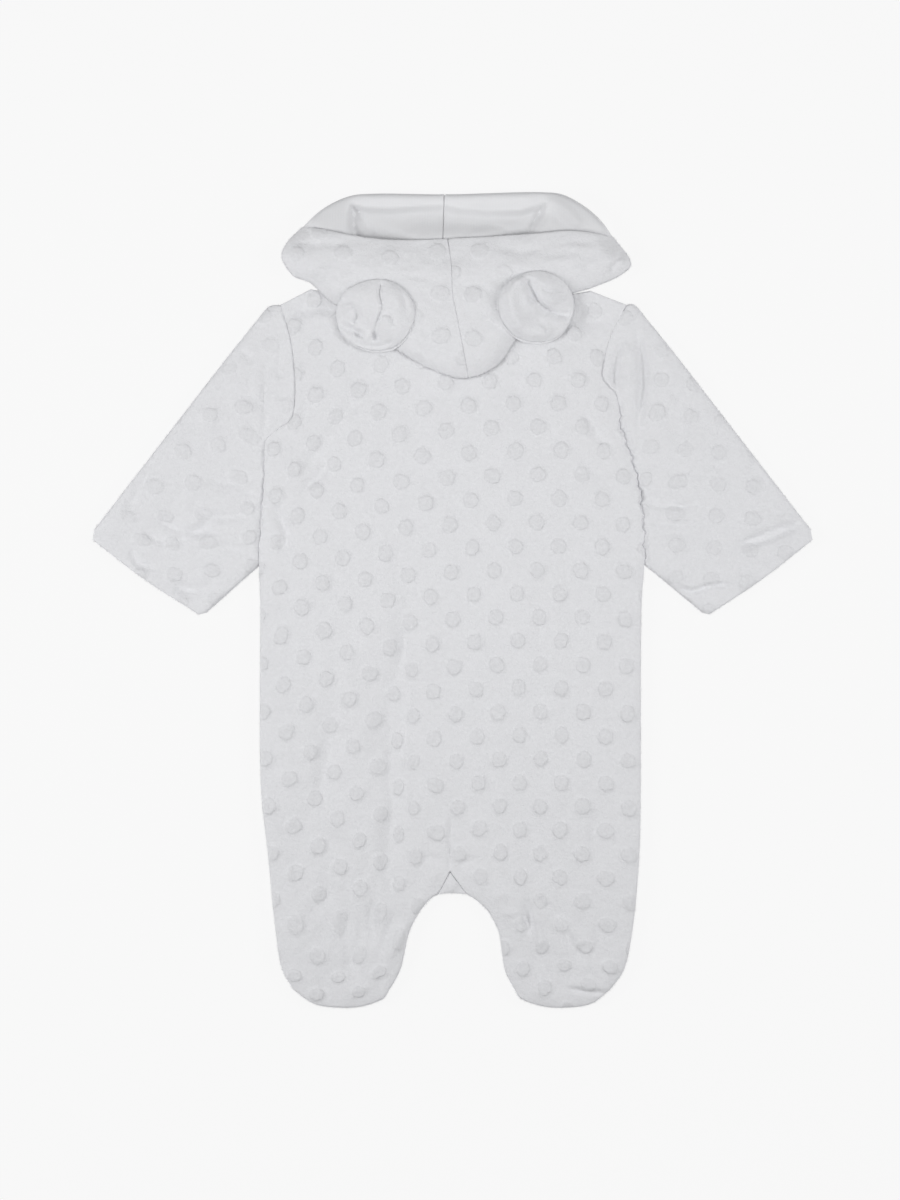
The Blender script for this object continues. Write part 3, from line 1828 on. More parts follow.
@dataclass
class Hood:
    """The hood thrown back: its plush shell in two halves and its jersey lining in two.

    Attributes:
        shell_cut: Flat size of one plush half.
        lining_cut: Flat size of the part of one lining half that shows.
        dots: Rows of raised dots, left and right.
        relief: Creases of the upper wall.
        recess: Edge of the hollow that the lining sinks into.
        recess_depth: Depth of that hollow.
        lining_relief: Creases of the lining.
    """

    shell_cut: Cut = Cut(0.19, 0.25, 0.036)
    lining_cut: Cut = Cut(0.12, 0.1, 0.0098)
    dots: tuple[DotRows, DotRows] = (
        DotRows(-10.5, 231.8, 15.6, 14.3, 1, pulls=(
            Pull(-40, 227, 0, -5, 16, 12), Pull(4, 190, 4, 1, 16, 30))),
        DotRows(19.1, 231.8, 15.8, 14.5, 0, pulls=(Pull(12, 190, -7, 0, 20, 34),)),
    )
    relief: tuple[Relief, ...] = (
        Valley(((114, 232), (110.5, 227), (108.5, 224), (103, 218)), 2.4, 4.5, 4),
        Crease(((22, 236), (50, 232), (78, 238), (100, 237)), 1.1, 3.4, taper=14),
        Crease(((50, 226), (74, 231), (100, 228)), 1.0, 3.4, taper=12),
        Crease(((30, 222), (48, 224)), -0.8, 3.4, taper=8),
        Crease(((84, 222), (100, 219)), 0.8, 3.0, taper=6),
        Crease(((-106, 237), (-96, 237.5), (-88, 235)), 1.0, 2.6, taper=6),
        Crease(((-86, 240), (-74, 243)), -0.7, 4.0, taper=8),
        Crease(((-76, 218), (-60, 220)), 0.8, 3.6, taper=8),
        Crease(((-30, 232), (-12, 238)), 0.8, 3.2, taper=8),
        Crease(((14, 214), (30, 200)), 0.9, 4.0, taper=8),
        Crease(((16, 196), (34, 178)), 0.9, 4.0, taper=8),
        Crease(((24, 184), (40, 168)), -0.8, 3.4, taper=8),
        Crease(((-34, 174), (-18, 166), (4, 158)), 0.7, 3.0, taper=8),
        Rumple(71, 34, 0, 225, 95, 16, 5, 22, 14, 3.0, 0.55),
        Rumple(72, 16, 5, 180, 26, 24, -35, 40, 10, 3.0, 0.45),
        Wander(21, 0.45, 30.0),
        Wander(22, 0.14, 11.0),
    )
    recess: Knots = (
        (-68, 264), (-59, 261.2), (-42, 260.6), (-21, 262), (-5, 262.4), (5, 260), (24, 258.6),
        (45, 259), (62, 264.4), (60, 256), (54.5, 247), (52, 232), (-67, 232),
    )
    recess_depth: float = 4.8
    lining_relief: tuple[Relief, ...] = (
        Hollow(-66, 243, 1.8, 3.4, 5), Hollow(-42, 241, 1.6, 12, 3), Hollow(44, 244, 1.8, 11, 3),
        Hollow(56, 252, 1.8, 3, 6, -30), Hollow(84, 247, 1.6, 10, 2.2),
        Crease(((-66, 262), (-60, 252), (-50, 243)), 1.2, 2.6, taper=6),
        Crease(((-52, 250), (-30, 240)), 0.8, 3.0, taper=6),
        Crease(((-12, 262), (-9, 250), (-8, 240)), -0.6, 3.5, taper=6),
        Crease(((62, 260), (57.5, 251), (52, 243)), 2.4, 2.0, taper=4),
        Crease(((-67.5, 262), (-67.5, 243)), 2.2, 1.6, taper=4),
        Crease(((60, 266), (73, 262), (82, 253), (86, 246)), -1.3, 3.2, taper=6),
        Crease(((66, 258), (74, 250), (78, 244)), 0.9, 2.6, taper=5),
        Crease(((-62, 268), (0, 268.5), (58, 269)), -0.7, 4.0, taper=12),
        Crease(((-96, 252), (-80, 262)), 0.5, 3.0, taper=6),
        Rumple(81, 22, 0, 252, 60, 8, 8, 30, 12, 2.6, 0.35),
        Wander(31, 0.3, 24.0),
    )

    def __post_init__(self) -> None:
        """Works out the shared runs."""
        self.fold = soft_run(FOLD_KNOTS, 1.4)
        self.lip = soft_run(LIP_KNOTS, 1.4)
        self.roll = soft_run(ROLL_KNOTS, 1.4)
        self.seam = soft_run(SEAM_KNOTS, 1.4)
        self.near_edge = close_outline(self.fold, self.lip)
        self.whole_edge = close_outline(self.fold, self.roll)
        self.recess_edge = close_outline(even_run([*self.recess, self.recess[0]], 1.5))

    def near_top(self, points: Points) -> Heights:
        """Height of the upper wall without its dots.

        Args:
            points: Plan points.

        Returns:
            Heights.
        """
        fold = edge_distance(points, self.fold)
        height = NEAR_AT_FOLD + NEAR_SWELL * smooth((fold - SWELL_START) / SWELL_REACH)
        height = height - FOLD_DROP * np.clip(1 - fold / FOLD_REACH, 0, 1) ** 2
        height = height - LIP_DROP * np.clip(1 - edge_distance(points, self.lip) / LIP_REACH, 0, 1) ** 2
        height = height - 0.5 * np.exp(-((edge_distance(points, self.seam) / 5) ** 2))
        return height + 1.1 * relief_height(points, self.relief) * smooth(fold / 7)

    def recess_drop(self, points: Points) -> Heights:
        """How far the lining sinks into the hollow of the hood.

        Args:
            points: Plan points.

        Returns:
            How far it sinks at each point.
        """
        inside = -outside_distance(points, self.recess_edge)
        soft = 1.8 + 1.2 * smooth((points[:, 0] + 66) / 10)
        middle = np.exp(-(((points[:, 0] - 2) / 42) ** 4)) * smooth((256 - points[:, 1]) / 16)
        slope = 1.0 - 0.9 * middle
        return self.recess_depth * slope * smooth((inside + 0.5 * soft) / (2 * soft))

    def roll_drop(self, points: Points) -> Heights:
        """How far the layers under the roll fall towards its edge."""
        return 3.4 * (1 - round_off(edge_distance(points, self.roll), 5))

    def standing(self, points: Points) -> Heights:
        """Where the dots show: they are pulled flat towards the right lobe and by the ears.

        Args:
            points: Plan points.

        Returns:
            Share of a dot left at each point.
        """
        fold = smooth((edge_distance(points, self.fold) - 2) / 6)
        pulled = 1 - 0.85 * smooth((points[:, 0] - 36) / 14)
        flat = (Hollow(-17.5, 189, 0.5, 8, 8), Hollow(24, 217, 1.0, 11, 9), Hollow(-24, 217, 1.2, 12, 9),
                Hollow(-57, 216, 1.2, 12, 8), Hollow(-73, 206, 1.2, 9, 8), Hollow(-88, 220, 0.4, 9, 7))
        return 0.9 * pulled * fold * np.clip(1 + relief_height(points, flat), 0, 1)

    def half(self, outline: Points, cut: Points, side: Side) -> Points:
        """The part of an outline to one side of a cut.

        Args:
            outline: A closed outline that the cut crosses.
            cut: The cut, from the top down.
            side: Which part.

        Returns:
            A closed outline.
        """
        _, _, where = path_distance(outline, cut)
        keep = where * side.value > 0
        start = int(np.argmax(keep & ~np.roll(keep, 1)))
        turned = np.roll(outline, -start, axis=0)
        kept = turned[np.roll(keep, -start)]
        inside = cut[is_inside(cut, outline) & (edge_distance(cut, outline, True) > 0.5)]
        if np.hypot(*(inside[0] - kept[-1])) > np.hypot(*(inside[-1] - kept[-1])):
            inside = inside[::-1]
        return close_outline(kept, inside, same=0.5)

    def shell(self, side: Side, finish: bpy.types.Material) -> bpy.types.Object:
        """Makes one half of the shell: upper wall, lower wall and the folds at the neck.

        Args:
            side: Which half.
            finish: Its plush.

        Returns:
            The piece.
        """
        near = self.half(self.near_edge, self.seam, side)
        rows = self.dots[0 if side is Side.LEFT else 1]

        def near_low(points: Points) -> Heights:
            """Underside of the upper wall.

            Args:
                points: Plan points.

            Returns:
                Heights.
            """
            top = self.near_top(points)
            fold = edge_distance(points, self.fold)
            lip = np.exp(-((edge_distance(points, self.lip) / 5) ** 2))
            seam = smooth(edge_distance(points, self.seam) / 5)
            low = top - 1.2 - (PLUSH - 1.2) * smooth(np.minimum(fold, edge_distance(points, self.lip)) / 6)
            return top - 0.6 - (top - 0.6 - low) * np.maximum(seam, lip)

        def tight(points: Points) -> Heights:
            """How tightly the edge rounds off.

            Args:
                points: Plan points.

            Returns:
                Share of the rim at each point.
            """
            seam = smooth((edge_distance(points, self.seam) - 0.2) / 1.5)
            fold = 1 - smooth((edge_distance(points, self.fold) - 0.2) / 2.5)
            return 0.12 + 0.28 * seam - 0.1 * fold

        parts = [Layer(near, self.near_top, near_low, grid=1.25, under_grid=5, rim=2.4, tight=tight,
                       dots=rows, standing=self.standing).build()]
        straight = even_run([(self.seam[0][0], 300.0), (self.seam[-1][0], 120.0)], 2.0)
        lower = self.half(shift_outline(self.whole_edge, -1.6), straight, side)

        def sunk(height: float) -> HeightField:
            """A level that sinks with the hollow and the roll."""
            return lambda p: (height - self.recess_drop(p) - self.roll_drop(p)
                              - 1.6 * (1 - smooth(edge_distance(p, self.fold) / 9)))

        parts.append(Layer(
            lower, sunk(HOOD_BASE + PLUSH - 1.0), sunk(HOOD_BASE + 0.1), grid=2.4, under_grid=5, rim=1.2,
        ).build())
        for low, high, inset, fall in ((0.3, 2.4, 2.2, 0), (2.5, 4.6, 3.4, 0), (4.7, HOOD_BASE, 2.6, 0.5)):
            outline = self.half(shift_outline(self.neck_edge(), -inset), straight, side)

            def pressed(points: Points, height: float, fall: float = fall) -> Heights:
                """A level pressed down under the hollow of the hood.

                Args:
                    points: Plan points.
                    height: Level before it is pressed.
                    fall: Share of the drop at the roll that it takes.

                Returns:
                    Heights.
                """
                share = self.recess_drop(points) / self.recess_depth
                level = min(height, 4.7) + (height - min(height, 4.7)) * (1 - share)
                return level * (1 - 0.68 * share) - fall * self.roll_drop(points)

            parts.append(Layer(
                outline, lambda p, h=high, f=pressed: f(p, h), lambda p, b=low, f=pressed: f(p, b),
                grid=4, under_grid=5, rim=1.1).build())
        node = f"hood_{side.word}"
        return cloth_piece(MeshParts.joined(parts), f"{node}_plush", finish, node)

    def neck_edge(self) -> Points:
        """Outline of the layers that lie on the surface beyond the neck.

        Returns:
            A closed outline.
        """
        neck = BODY.neck() + np.array([0, 0.6])
        neck = neck[(neck[:, 0] > -89.4) & (neck[:, 0] < 87.6)]
        fold = self.fold
        left = fold[: int(np.argmax(fold[:, 1] < 211.4))]
        low = np.flatnonzero(fold[:, 1] < 209.4)[-1]
        right = fold[low + 1:]
        return close_outline(left, neck, right, self.roll)

    def lining(self, side: Side, finish: bpy.types.Material) -> bpy.types.Object:
        """Makes one half of the lining, which wraps the roll at the top.

        Args:
            side: Which half.
            finish: Its knit.

        Returns:
            The piece.
        """
        moved = np.where(edge_distance(self.whole_edge, self.roll) < 0.5, 0.0, -2.6)
        whole = shift_outline(self.whole_edge, moved)
        cut = even_run([(-4.6, 300.0), (-6.6, 236.0), (-6.0, 120.0)], 2.0)
        outline = self.half(whole, cut, side)

        def top(points: Points) -> Heights:
            """Upper surface of the lining.

            Args:
                points: Plan points.

            Returns:
                Heights.
            """
            roll = edge_distance(points, self.roll)
            folds = np.maximum(relief_height(points, self.lining_relief), -1.2) * smooth(roll / 5)
            hidden = smooth((240 - points[:, 1]) / 8)
            centre = np.exp(-((points[:, 0] / 45) ** 4))
            rise = 1.2 * centre * np.exp(-((edge_distance(points, self.lip) / 9) ** 2))
            height = LINING_TOP + rise + folds * (1 - hidden) - self.recess_drop(points)
            return np.minimum(height, self.near_top(points) - 1.6) - self.roll_drop(points)

        def low(points: Points) -> Heights:
            """Underside of the lining.

            Args:
                points: Plan points.

            Returns:
                Heights.
            """
            wrap = 1 - smooth((edge_distance(points, self.roll) - 2.5) / 3)
            sheet = LINING_LOW - self.recess_drop(points) - self.roll_drop(points)
            return np.minimum(sheet * (1 - wrap) + 0.4 * wrap, top(points) - 0.6)

        def tight(points: Points) -> Heights:
            """How tightly the edge rounds off."""
            return 0.12 + 0.88 * smooth((edge_distance(points, cut) - 0.3) / 2.5)

        def double(points: Points) -> Heights:
            """Where the hem of the lining is double.

            Args:
                points: Plan points.

            Returns:
                1 on the double hem, 0 elsewhere.
            """
            outside = outside_distance(points, self.recess_edge)
            ends = smooth((points[:, 0] + 74) / 10) * smooth((74 - points[:, 0]) / 14)
            return smooth(outside / 1.5) * ends * smooth((points[:, 1] - 252) / 8)

        layer = Layer(outline, top, low, grid=1.4, under_grid=4, rim=2.2, tight=tight, standing=double)
        node = f"hood_lining_{side.word}"
        return cloth_piece(layer.build(), f"{node}_jersey", finish, node)


@dataclass
class Ear:
    """A soft ear of two ovals sewn round their edge, crumpled on the hood.

    Attributes:
        side: Which ear.
        hood: The hood that it lies on.
        x: Middle of its plan.
        y: The same.
        half_width: Half its width.
        half_height: Half its height.
        relief: Its rolls and creases.
        dome: Height of its even fullness.
        cut: Flat size of one oval.
    """

    side: Side
    hood: Hood
    x: float
    y: float
    half_width: float
    half_height: float
    relief: tuple[Relief, ...]
    dome: float = 5.0
    cut: Cut = Cut(0.056, 0.05, 0.0022)

    def outline(self, grow: float = 0.0) -> Points:
        """Its oval edge, a little uneven.

        Args:
            grow: How much larger than the oval.

        Returns:
            Plan points.
        """
        angle = np.linspace(0, 2 * math.pi, 170, endpoint=False)
        wave = 1 + 0.014 * np.sin(3 * angle + self.x) + 0.01 * np.sin(5 * angle + self.y)
        return np.c_[self.x + (self.half_width * wave + grow) * np.cos(angle),
                     self.y + (self.half_height * wave + grow) * np.sin(angle)]

    def base(self, points: Points) -> Heights:
        """Underside of the ear, which droops past the fold of the hood.

        Args:
            points: Plan points.

        Returns:
            Heights.
        """
        inward = np.where(is_inside(points, self.hood.near_edge), 1.0, -1.0)
        distance = edge_distance(points, self.hood.fold)
        flat = NEAR_AT_FOLD + NEAR_SWELL * smooth((distance - SWELL_START) / SWELL_REACH)
        past = (inward * distance + np.sqrt(distance**2 + 9)) / 2
        droop = FOLD_DROP * np.clip(1 - past / FOLD_REACH, 0, 1) ** 2
        return np.maximum(BACK_CROWN + 0.9, flat - droop - 0.3)

    def build(self, finish: bpy.types.Material) -> bpy.types.Object:
        """Makes the ear.

        Args:
            finish: Its plush.

        Returns:
            The upper piece.
        """
        outline = self.outline(-0.3)

        def puff(points: Points) -> Heights:
            """Fullness of the ear above its seam.

            Args:
                points: Plan points.

            Returns:
                Heights.
            """
            share = np.hypot((points[:, 0] - self.x) / self.half_width,
                             (points[:, 1] - self.y) / self.half_height)
            dome = self.dome * np.clip(1 - share**3, 0, 1) ** 0.8
            inner = smooth((1 - share) * self.half_height / 4)
            return 0.3 + np.clip(dome + 1.05 * relief_height(points, self.relief) * inner, 0.1, 8.0)

        def split(points: Points) -> Heights:
            """Level of the seam between the two ovals."""
            return self.base(points) + 0.8

        upper = Layer(outline, lambda p: split(p) + 0.1 + puff(p), lambda p: split(p) + 0.1,
                      grid=0.8, under_grid=4, rim=0.5)
        brim = self.outline(0.1) + np.array([-0.5 * self.side.value, -1.0])
        under = Layer(brim, split, self.base, grid=2.5, under_grid=2.5, rim=0.6)
        ear = f"ear_{self.side.word}"
        piece = cloth_piece(upper.build(), f"{ear}_upper", finish, f"{ear}_front")
        cloth_piece(under.build(), f"{ear}_lower", finish, f"{ear}_back")
        return piece


# ---- What repeats ----


class Form(Enum):
    """Small forms that are repeated."""

    STITCH = "stitch"
    TUFT = "tuft"
    LINK = "link"


@dataclass
class Copies:
    """A small form repeated at given places by Geometry Nodes.

    Attributes:
        name: Name of the piece.
        form: What is repeated.
        size: Its length, width and thickness.
        spread: How far sizes stray, as a share.
        seed: Picks the sizes.
    """

    name: str
    form: Form
    size: tuple[float, float, float]
    spread: float
    seed: int
    spots: list[Points] = field(default_factory=list)
    turns: list[Points] = field(default_factory=list)

    def add(self, spots: Points, turns: Points) -> None:
        """Adds places, in millimetres, and the turn at each, in radians."""
        self.spots.append(spots)
        self.turns.append(turns)

    def one(self, n: Nodes, width: bpy.types.NodeSocket) -> bpy.types.NodeSocket:
        """Makes one copy of the form, of unit length.

        Args:
            n: The tree.
            width: Thickness of a link's wire as a share of its length.

        Returns:
            Its geometry.
        """
        if self.form is Form.STITCH:
            ball = n.add("GeometryNodeMeshUVSphere")
            ball.inputs["Segments"].default_value = 6
            ball.inputs["Rings"].default_value = 4
            ball.inputs["Radius"].default_value = 0.5
            return ball.outputs["Mesh"]
        if self.form is Form.TUFT:
            hair = n.add("GeometryNodeMeshCone")
            hair.inputs["Vertices"].default_value = 3
            hair.inputs["Radius Top"].default_value = 0.0
            hair.inputs["Radius Bottom"].default_value = 0.5
            hair.inputs["Depth"].default_value = 1.0
            return hair.outputs["Mesh"]
        loop = n.add("GeometryNodeCurvePrimitiveCircle")
        loop.inputs["Resolution"].default_value = 12
        loop.inputs["Radius"].default_value = 0.5
        wire = n.add("GeometryNodeCurvePrimitiveCircle")
        wire.inputs["Resolution"].default_value = 5
        n.feed(wire, "Radius", width)
        ring = n.add("GeometryNodeCurveToMesh")
        n.feed(ring, "Curve", loop.outputs["Curve"])
        n.feed(ring, "Profile Curve", wire.outputs["Curve"])
        return ring.outputs["Mesh"]

    def tree(self) -> bpy.types.NodeTree:
        """Builds the node tree.

        Returns:
            A tree that ends in real mesh with its material set.
        """
        tree = bpy.data.node_groups.new(f"{self.name}_copies", "GeometryNodeTree")
        sockets = tree.interface
        sockets.new_socket("Geometry", in_out="INPUT", socket_type="NodeSocketGeometry")
        for label in ("Length", "Width", "Thickness", "Wire", "Spread"):
            sockets.new_socket(label, in_out="INPUT", socket_type="NodeSocketFloat")
        sockets.new_socket("Seed", in_out="INPUT", socket_type="NodeSocketInt")
        sockets.new_socket("Finish", in_out="INPUT", socket_type="NodeSocketMaterial")
        sockets.new_socket("Geometry", in_out="OUTPUT", socket_type="NodeSocketGeometry")
        n = Nodes(tree)
        given = n.add("NodeGroupInput")
        stray = n.add("FunctionNodeRandomValue", data_type="FLOAT")
        n.feed(stray, 2, n.sum("SUBTRACT", 1.0, given.outputs["Spread"]))
        n.feed(stray, 3, n.sum("ADD", 1.0, given.outputs["Spread"]))
        n.feed(stray, "Seed", given.outputs["Seed"])
        size = n.add("ShaderNodeCombineXYZ")
        for axis, label in enumerate(("Length", "Width", "Thickness")):
            n.feed(size, axis, n.sum("MULTIPLY", given.outputs[label], stray.outputs[1]))
        turn = n.add("GeometryNodeInputNamedAttribute", data_type="FLOAT_VECTOR")
        turn.inputs["Name"].default_value = "Turn"
        turned = n.add("FunctionNodeEulerToRotation")
        n.feed(turned, 0, turn.outputs["Attribute"])
        copies = n.add("GeometryNodeInstanceOnPoints")
        n.feed(copies, "Points", given.outputs["Geometry"])
        n.feed(copies, "Instance", self.one(n, given.outputs["Wire"]))
        n.feed(copies, "Rotation", turned.outputs[0])
        n.feed(copies, "Scale", size.outputs[0])
        real = n.add("GeometryNodeRealizeInstances")
        n.feed(real, "Geometry", copies.outputs["Instances"])
        dressed = n.add("GeometryNodeSetMaterial")
        n.feed(dressed, "Geometry", real.outputs["Geometry"])
        n.feed(dressed, "Material", given.outputs["Finish"])
        result = n.add("NodeGroupOutput")
        n.feed(result, 0, dressed.outputs["Geometry"])
        return tree

    def build(self, slot: Slot, finish: bpy.types.Material) -> bpy.types.Object:
        """Makes the copies as one plain mesh.

        Args:
            slot: Material slot that they belong to.
            finish: Their material.

        Returns:
            The piece.
        """
        spots, turns = np.vstack(self.spots) / 1000, np.vstack(self.turns)
        mesh = bpy.data.meshes.new(f"{self.name}_places")
        mesh.from_pydata(spots.tolist(), [], [])
        mesh.attributes.new("Turn", "FLOAT_VECTOR", "POINT").data.foreach_set("vector", turns.ravel())
        piece = put(self.name, mesh)
        tree = self.tree()
        modifier = piece.modifiers.new("copies", "NODES")
        modifier.node_group = tree
        length, width, thickness = (value / 1000 for value in self.size)
        values = {"Length": length, "Width": width, "Thickness": thickness, "Wire": 0.11,
                  "Spread": self.spread, "Seed": self.seed, "Finish": finish}
        for socket in tree.interface.items_tree:
            if socket.in_out == "INPUT" and socket.name in values:
                modifier[socket.identifier] = values[socket.name]
        evaluated = piece.evaluated_get(bpy.context.evaluated_depsgraph_get())
        plain = bpy.data.meshes.new_from_object(evaluated)
        piece.modifiers.clear()
        piece.data = plain
        plain.materials.clear()
        plain.materials.append(finish)
        plain.polygons.foreach_set("material_index", [0] * len(plain.polygons))
        plain.shade_smooth()
        return settle(piece)


@dataclass(frozen=True)
class ZipCoil:
    """The closed coil of the zip and the stitches that hold its tapes.

    Attributes:
        pitch: Distance between links.
        stitch_pitch: Distance between stitches.
        top_y: Upper end of the coil.
        level: Height of its middle.
    """

    pitch: float = 1.3
    stitch_pitch: float = 3.2
    top_y: float = 195.0
    level: float = 1.45

    def build(self, finish: bpy.types.Material) -> None:
        """Makes coil and stitches.

        Args:
            finish: Their moulded thread.
        """
        y = np.arange(ZIP_END_Y + 3, self.top_y, self.pitch)
        lean = np.where(np.arange(len(y)) % 2 == 0, 0.3, -0.3)
        coil = Copies("zip_coil", Form.LINK, (3.3, 2.0, 2.4), 0.02, 5)
        coil.add(np.c_[np.full(len(y), ZIP_X), y, np.full(len(y), self.level)],
                 np.c_[np.full(len(y), math.pi / 2), np.zeros(len(y)), lean])
        coil.build(Slot.ZIP, finish)
        sewn = Copies("zip_tape_stitches", Form.STITCH, (0.55, 2.3, 0.4), 0.06, 7)
        y = np.arange(ZIP_END_Y + 2, self.top_y, self.stitch_pitch)
        for outward in (-1, 1):
            for inset in (1.3, 4.6):
                x = np.full(len(y), ZIP_X + outward * (ZIP_WIDTH / 2 - inset))
                sewn.add(np.c_[x, y, np.full(len(y), 0.68)], np.zeros((len(y), 3)))
        sewn.build(Slot.ZIP, finish)


@dataclass(frozen=True)
class NapEdge:
    """Short tufts of nap that stand out along the edges of the plush.

    Attributes:
        length: Length of a tuft.
        thickness: Its thickness.
        spacing: Distance between tufts.
    """

    length: float = 1.1
    thickness: float = 0.26
    spacing: float = 0.75

    def along(self, copies: Copies, edge: Points, centre: tuple[float, float], top: HeightField) -> None:
        """Adds tufts along one edge.

        Args:
            copies: What the tufts are added to.
            edge: Plan points of the edge.
            centre: A place on the inner side.
            top: Height of the cloth.
        """
        run = even_run([tuple(point) for point in edge], self.spacing)
        direction = np.gradient(run, axis=0)
        direction /= np.linalg.norm(direction, axis=1)[:, None]
        outward = np.c_[direction[:, 1], -direction[:, 0]]
        middle = run[len(run) // 2] - np.array(centre)
        outward *= np.sign(float(outward[len(run) // 2] @ middle))
        picks = np.random.default_rng(copies.seed)
        for inset, low, high in ((0.25, 70, 105), (0.7, 35, 80)):
            shift = picks.uniform(-0.4, 0.4, (len(run), 1)) * self.spacing
            spots = run - outward * inset + direction * shift
            level = top(run - outward * 1.2) - 0.5 - 2.6 * (0.8 - inset) * picks.uniform(0.2, 1, len(run))
            tip = np.radians(picks.uniform(low, high, len(run)))
            aside = np.arctan2(outward[:, 1], outward[:, 0]) + picks.normal(0, 0.5, len(run))
            copies.add(np.c_[spots, np.maximum(level, 0.8)], np.c_[np.zeros(len(run)), tip, aside])

    def build(self, sleeves: Sequence[Sleeve], hood: Hood, ears: Sequence[Ear],
              finish: bpy.types.Material) -> None:
        """Makes the tufts of every edge.

        Args:
            sleeves: Both sleeves.
            hood: The hood.
            ears: Both ears.
            finish: Their plush.
        """
        size = (self.thickness, self.thickness, self.length)
        body = Copies("nap_edge_body", Form.TUFT, size, 0.35, 11)
        back = BackPanel()
        for edge in BODY.free_edges():
            self.along(body, edge, (ZIP_X, -60.0), back.top)
        body.build(Slot.PLUSH, finish)
        arms = Copies("nap_edge_sleeves", Form.TUFT, size, 0.35, 12)
        for sleeve in sleeves:
            outer, cuff, lower, _ = sleeve.runs()
            for edge in (outer, cuff, lower):
                self.along(arms, edge, (sleeve.side.value * 160.0, 70.0), sleeve.top)
        arms.build(Slot.PLUSH, finish)
        head = Copies("nap_edge_hood", Form.TUFT, size, 0.35, 13)
        self.along(head, hood.fold, (0.0, 215.0), hood.near_top)
        self.along(head, hood.lip, (0.0, 215.0), hood.near_top)
        for ear in ears:
            self.along(head, ear.outline(-0.4), (ear.x, ear.y), lambda p, e=ear: e.base(p) + 2.2)
        head.build(Slot.PLUSH, finish)


# ---- Setting ----


@dataclass(frozen=True)
class Studio:
    """Pale floor, three soft lights and a camera that looks straight down.

    Attributes:
        centre_x: Where the camera looks, in metres.
        height: How far up the camera stands.
        view_height: Height of the view at the surface.
    """

    centre_x: float = -0.0017
    height: float = 2.2
    view_height: float = 0.804

    def floor(self) -> None:
        """Makes the floor under the suit."""
        material = FloorFinish("pale_floor", (0.04, 0.04, 0.04), 1.0, 0.0).build()
        mesh = bpy.data.meshes.new("floor")
        low = -0.0003
        mesh.from_pydata([(-3, -3, low), (3, -3, low), (3, 3, low), (-3, 3, low)], [], [(0, 1, 2, 3)])
        mesh.materials.append(material)
        put("floor", mesh)

    def surroundings(self) -> None:
        """Lights the suit faintly from all round, more from above than from the sides."""
        world = bpy.data.worlds.new("surroundings")
        world.use_nodes = True
        n = Nodes(world.node_tree)
        parts = n.add("ShaderNodeSeparateXYZ")
        n.feed(parts, 0, n.add("ShaderNodeTexCoord").outputs["Generated"])
        strength = n.between(parts.outputs[2], 0.0, 1.0, 0.18, 0.35)
        background = world.node_tree.nodes["Background"]
        background.inputs["Color"].default_value = (1.0, 1.0, 1.0, 1.0)
        n.feed(background, "Strength", strength)
        bpy.context.scene.world = world

    def light(self, name: str, place: tuple[float, float, float], size: float, power: float) -> None:
        """Adds a soft light that faces the suit.

        Args:
            name: Name of the light.
            place: Where it stands, in metres.
            size: Width of its square face.
            power: Its power in watts.
        """
        lamp = bpy.data.lights.new(name, "AREA")
        lamp.size = size
        lamp.energy = power
        thing = put(name, lamp)
        thing.location = place
        thing.rotation_euler = (-Vector(place)).to_track_quat("-Z", "Y").to_euler()

    def build(self) -> None:
        """Sets up floor, lights, surroundings and camera."""
        scene = bpy.context.scene
        scene.view_settings.view_transform = "Standard"
        self.floor()
        self.light("overhead_light", (-0.02, 0.13, 0.62), 0.3, 0.92)
        self.light("left_light", (-1.4, -0.1, 0.9), 0.6, 13.2)
        self.light("right_light", (1.4, 0.05, 0.9), 0.6, 11.2)
        self.surroundings()
        lens = bpy.data.cameras.new("camera")
        lens.sensor_fit = "VERTICAL"
        lens.sensor_height = 36.0
        lens.lens = 36.0 * self.height / self.view_height
        camera = put("camera", lens)
        camera.location = (self.centre_x, 0.0, self.height)
        scene.camera = camera


PLUSH_COLOUR = (0.745, 0.748, 0.768)
JERSEY_COLOUR = (0.70, 0.703, 0.718)


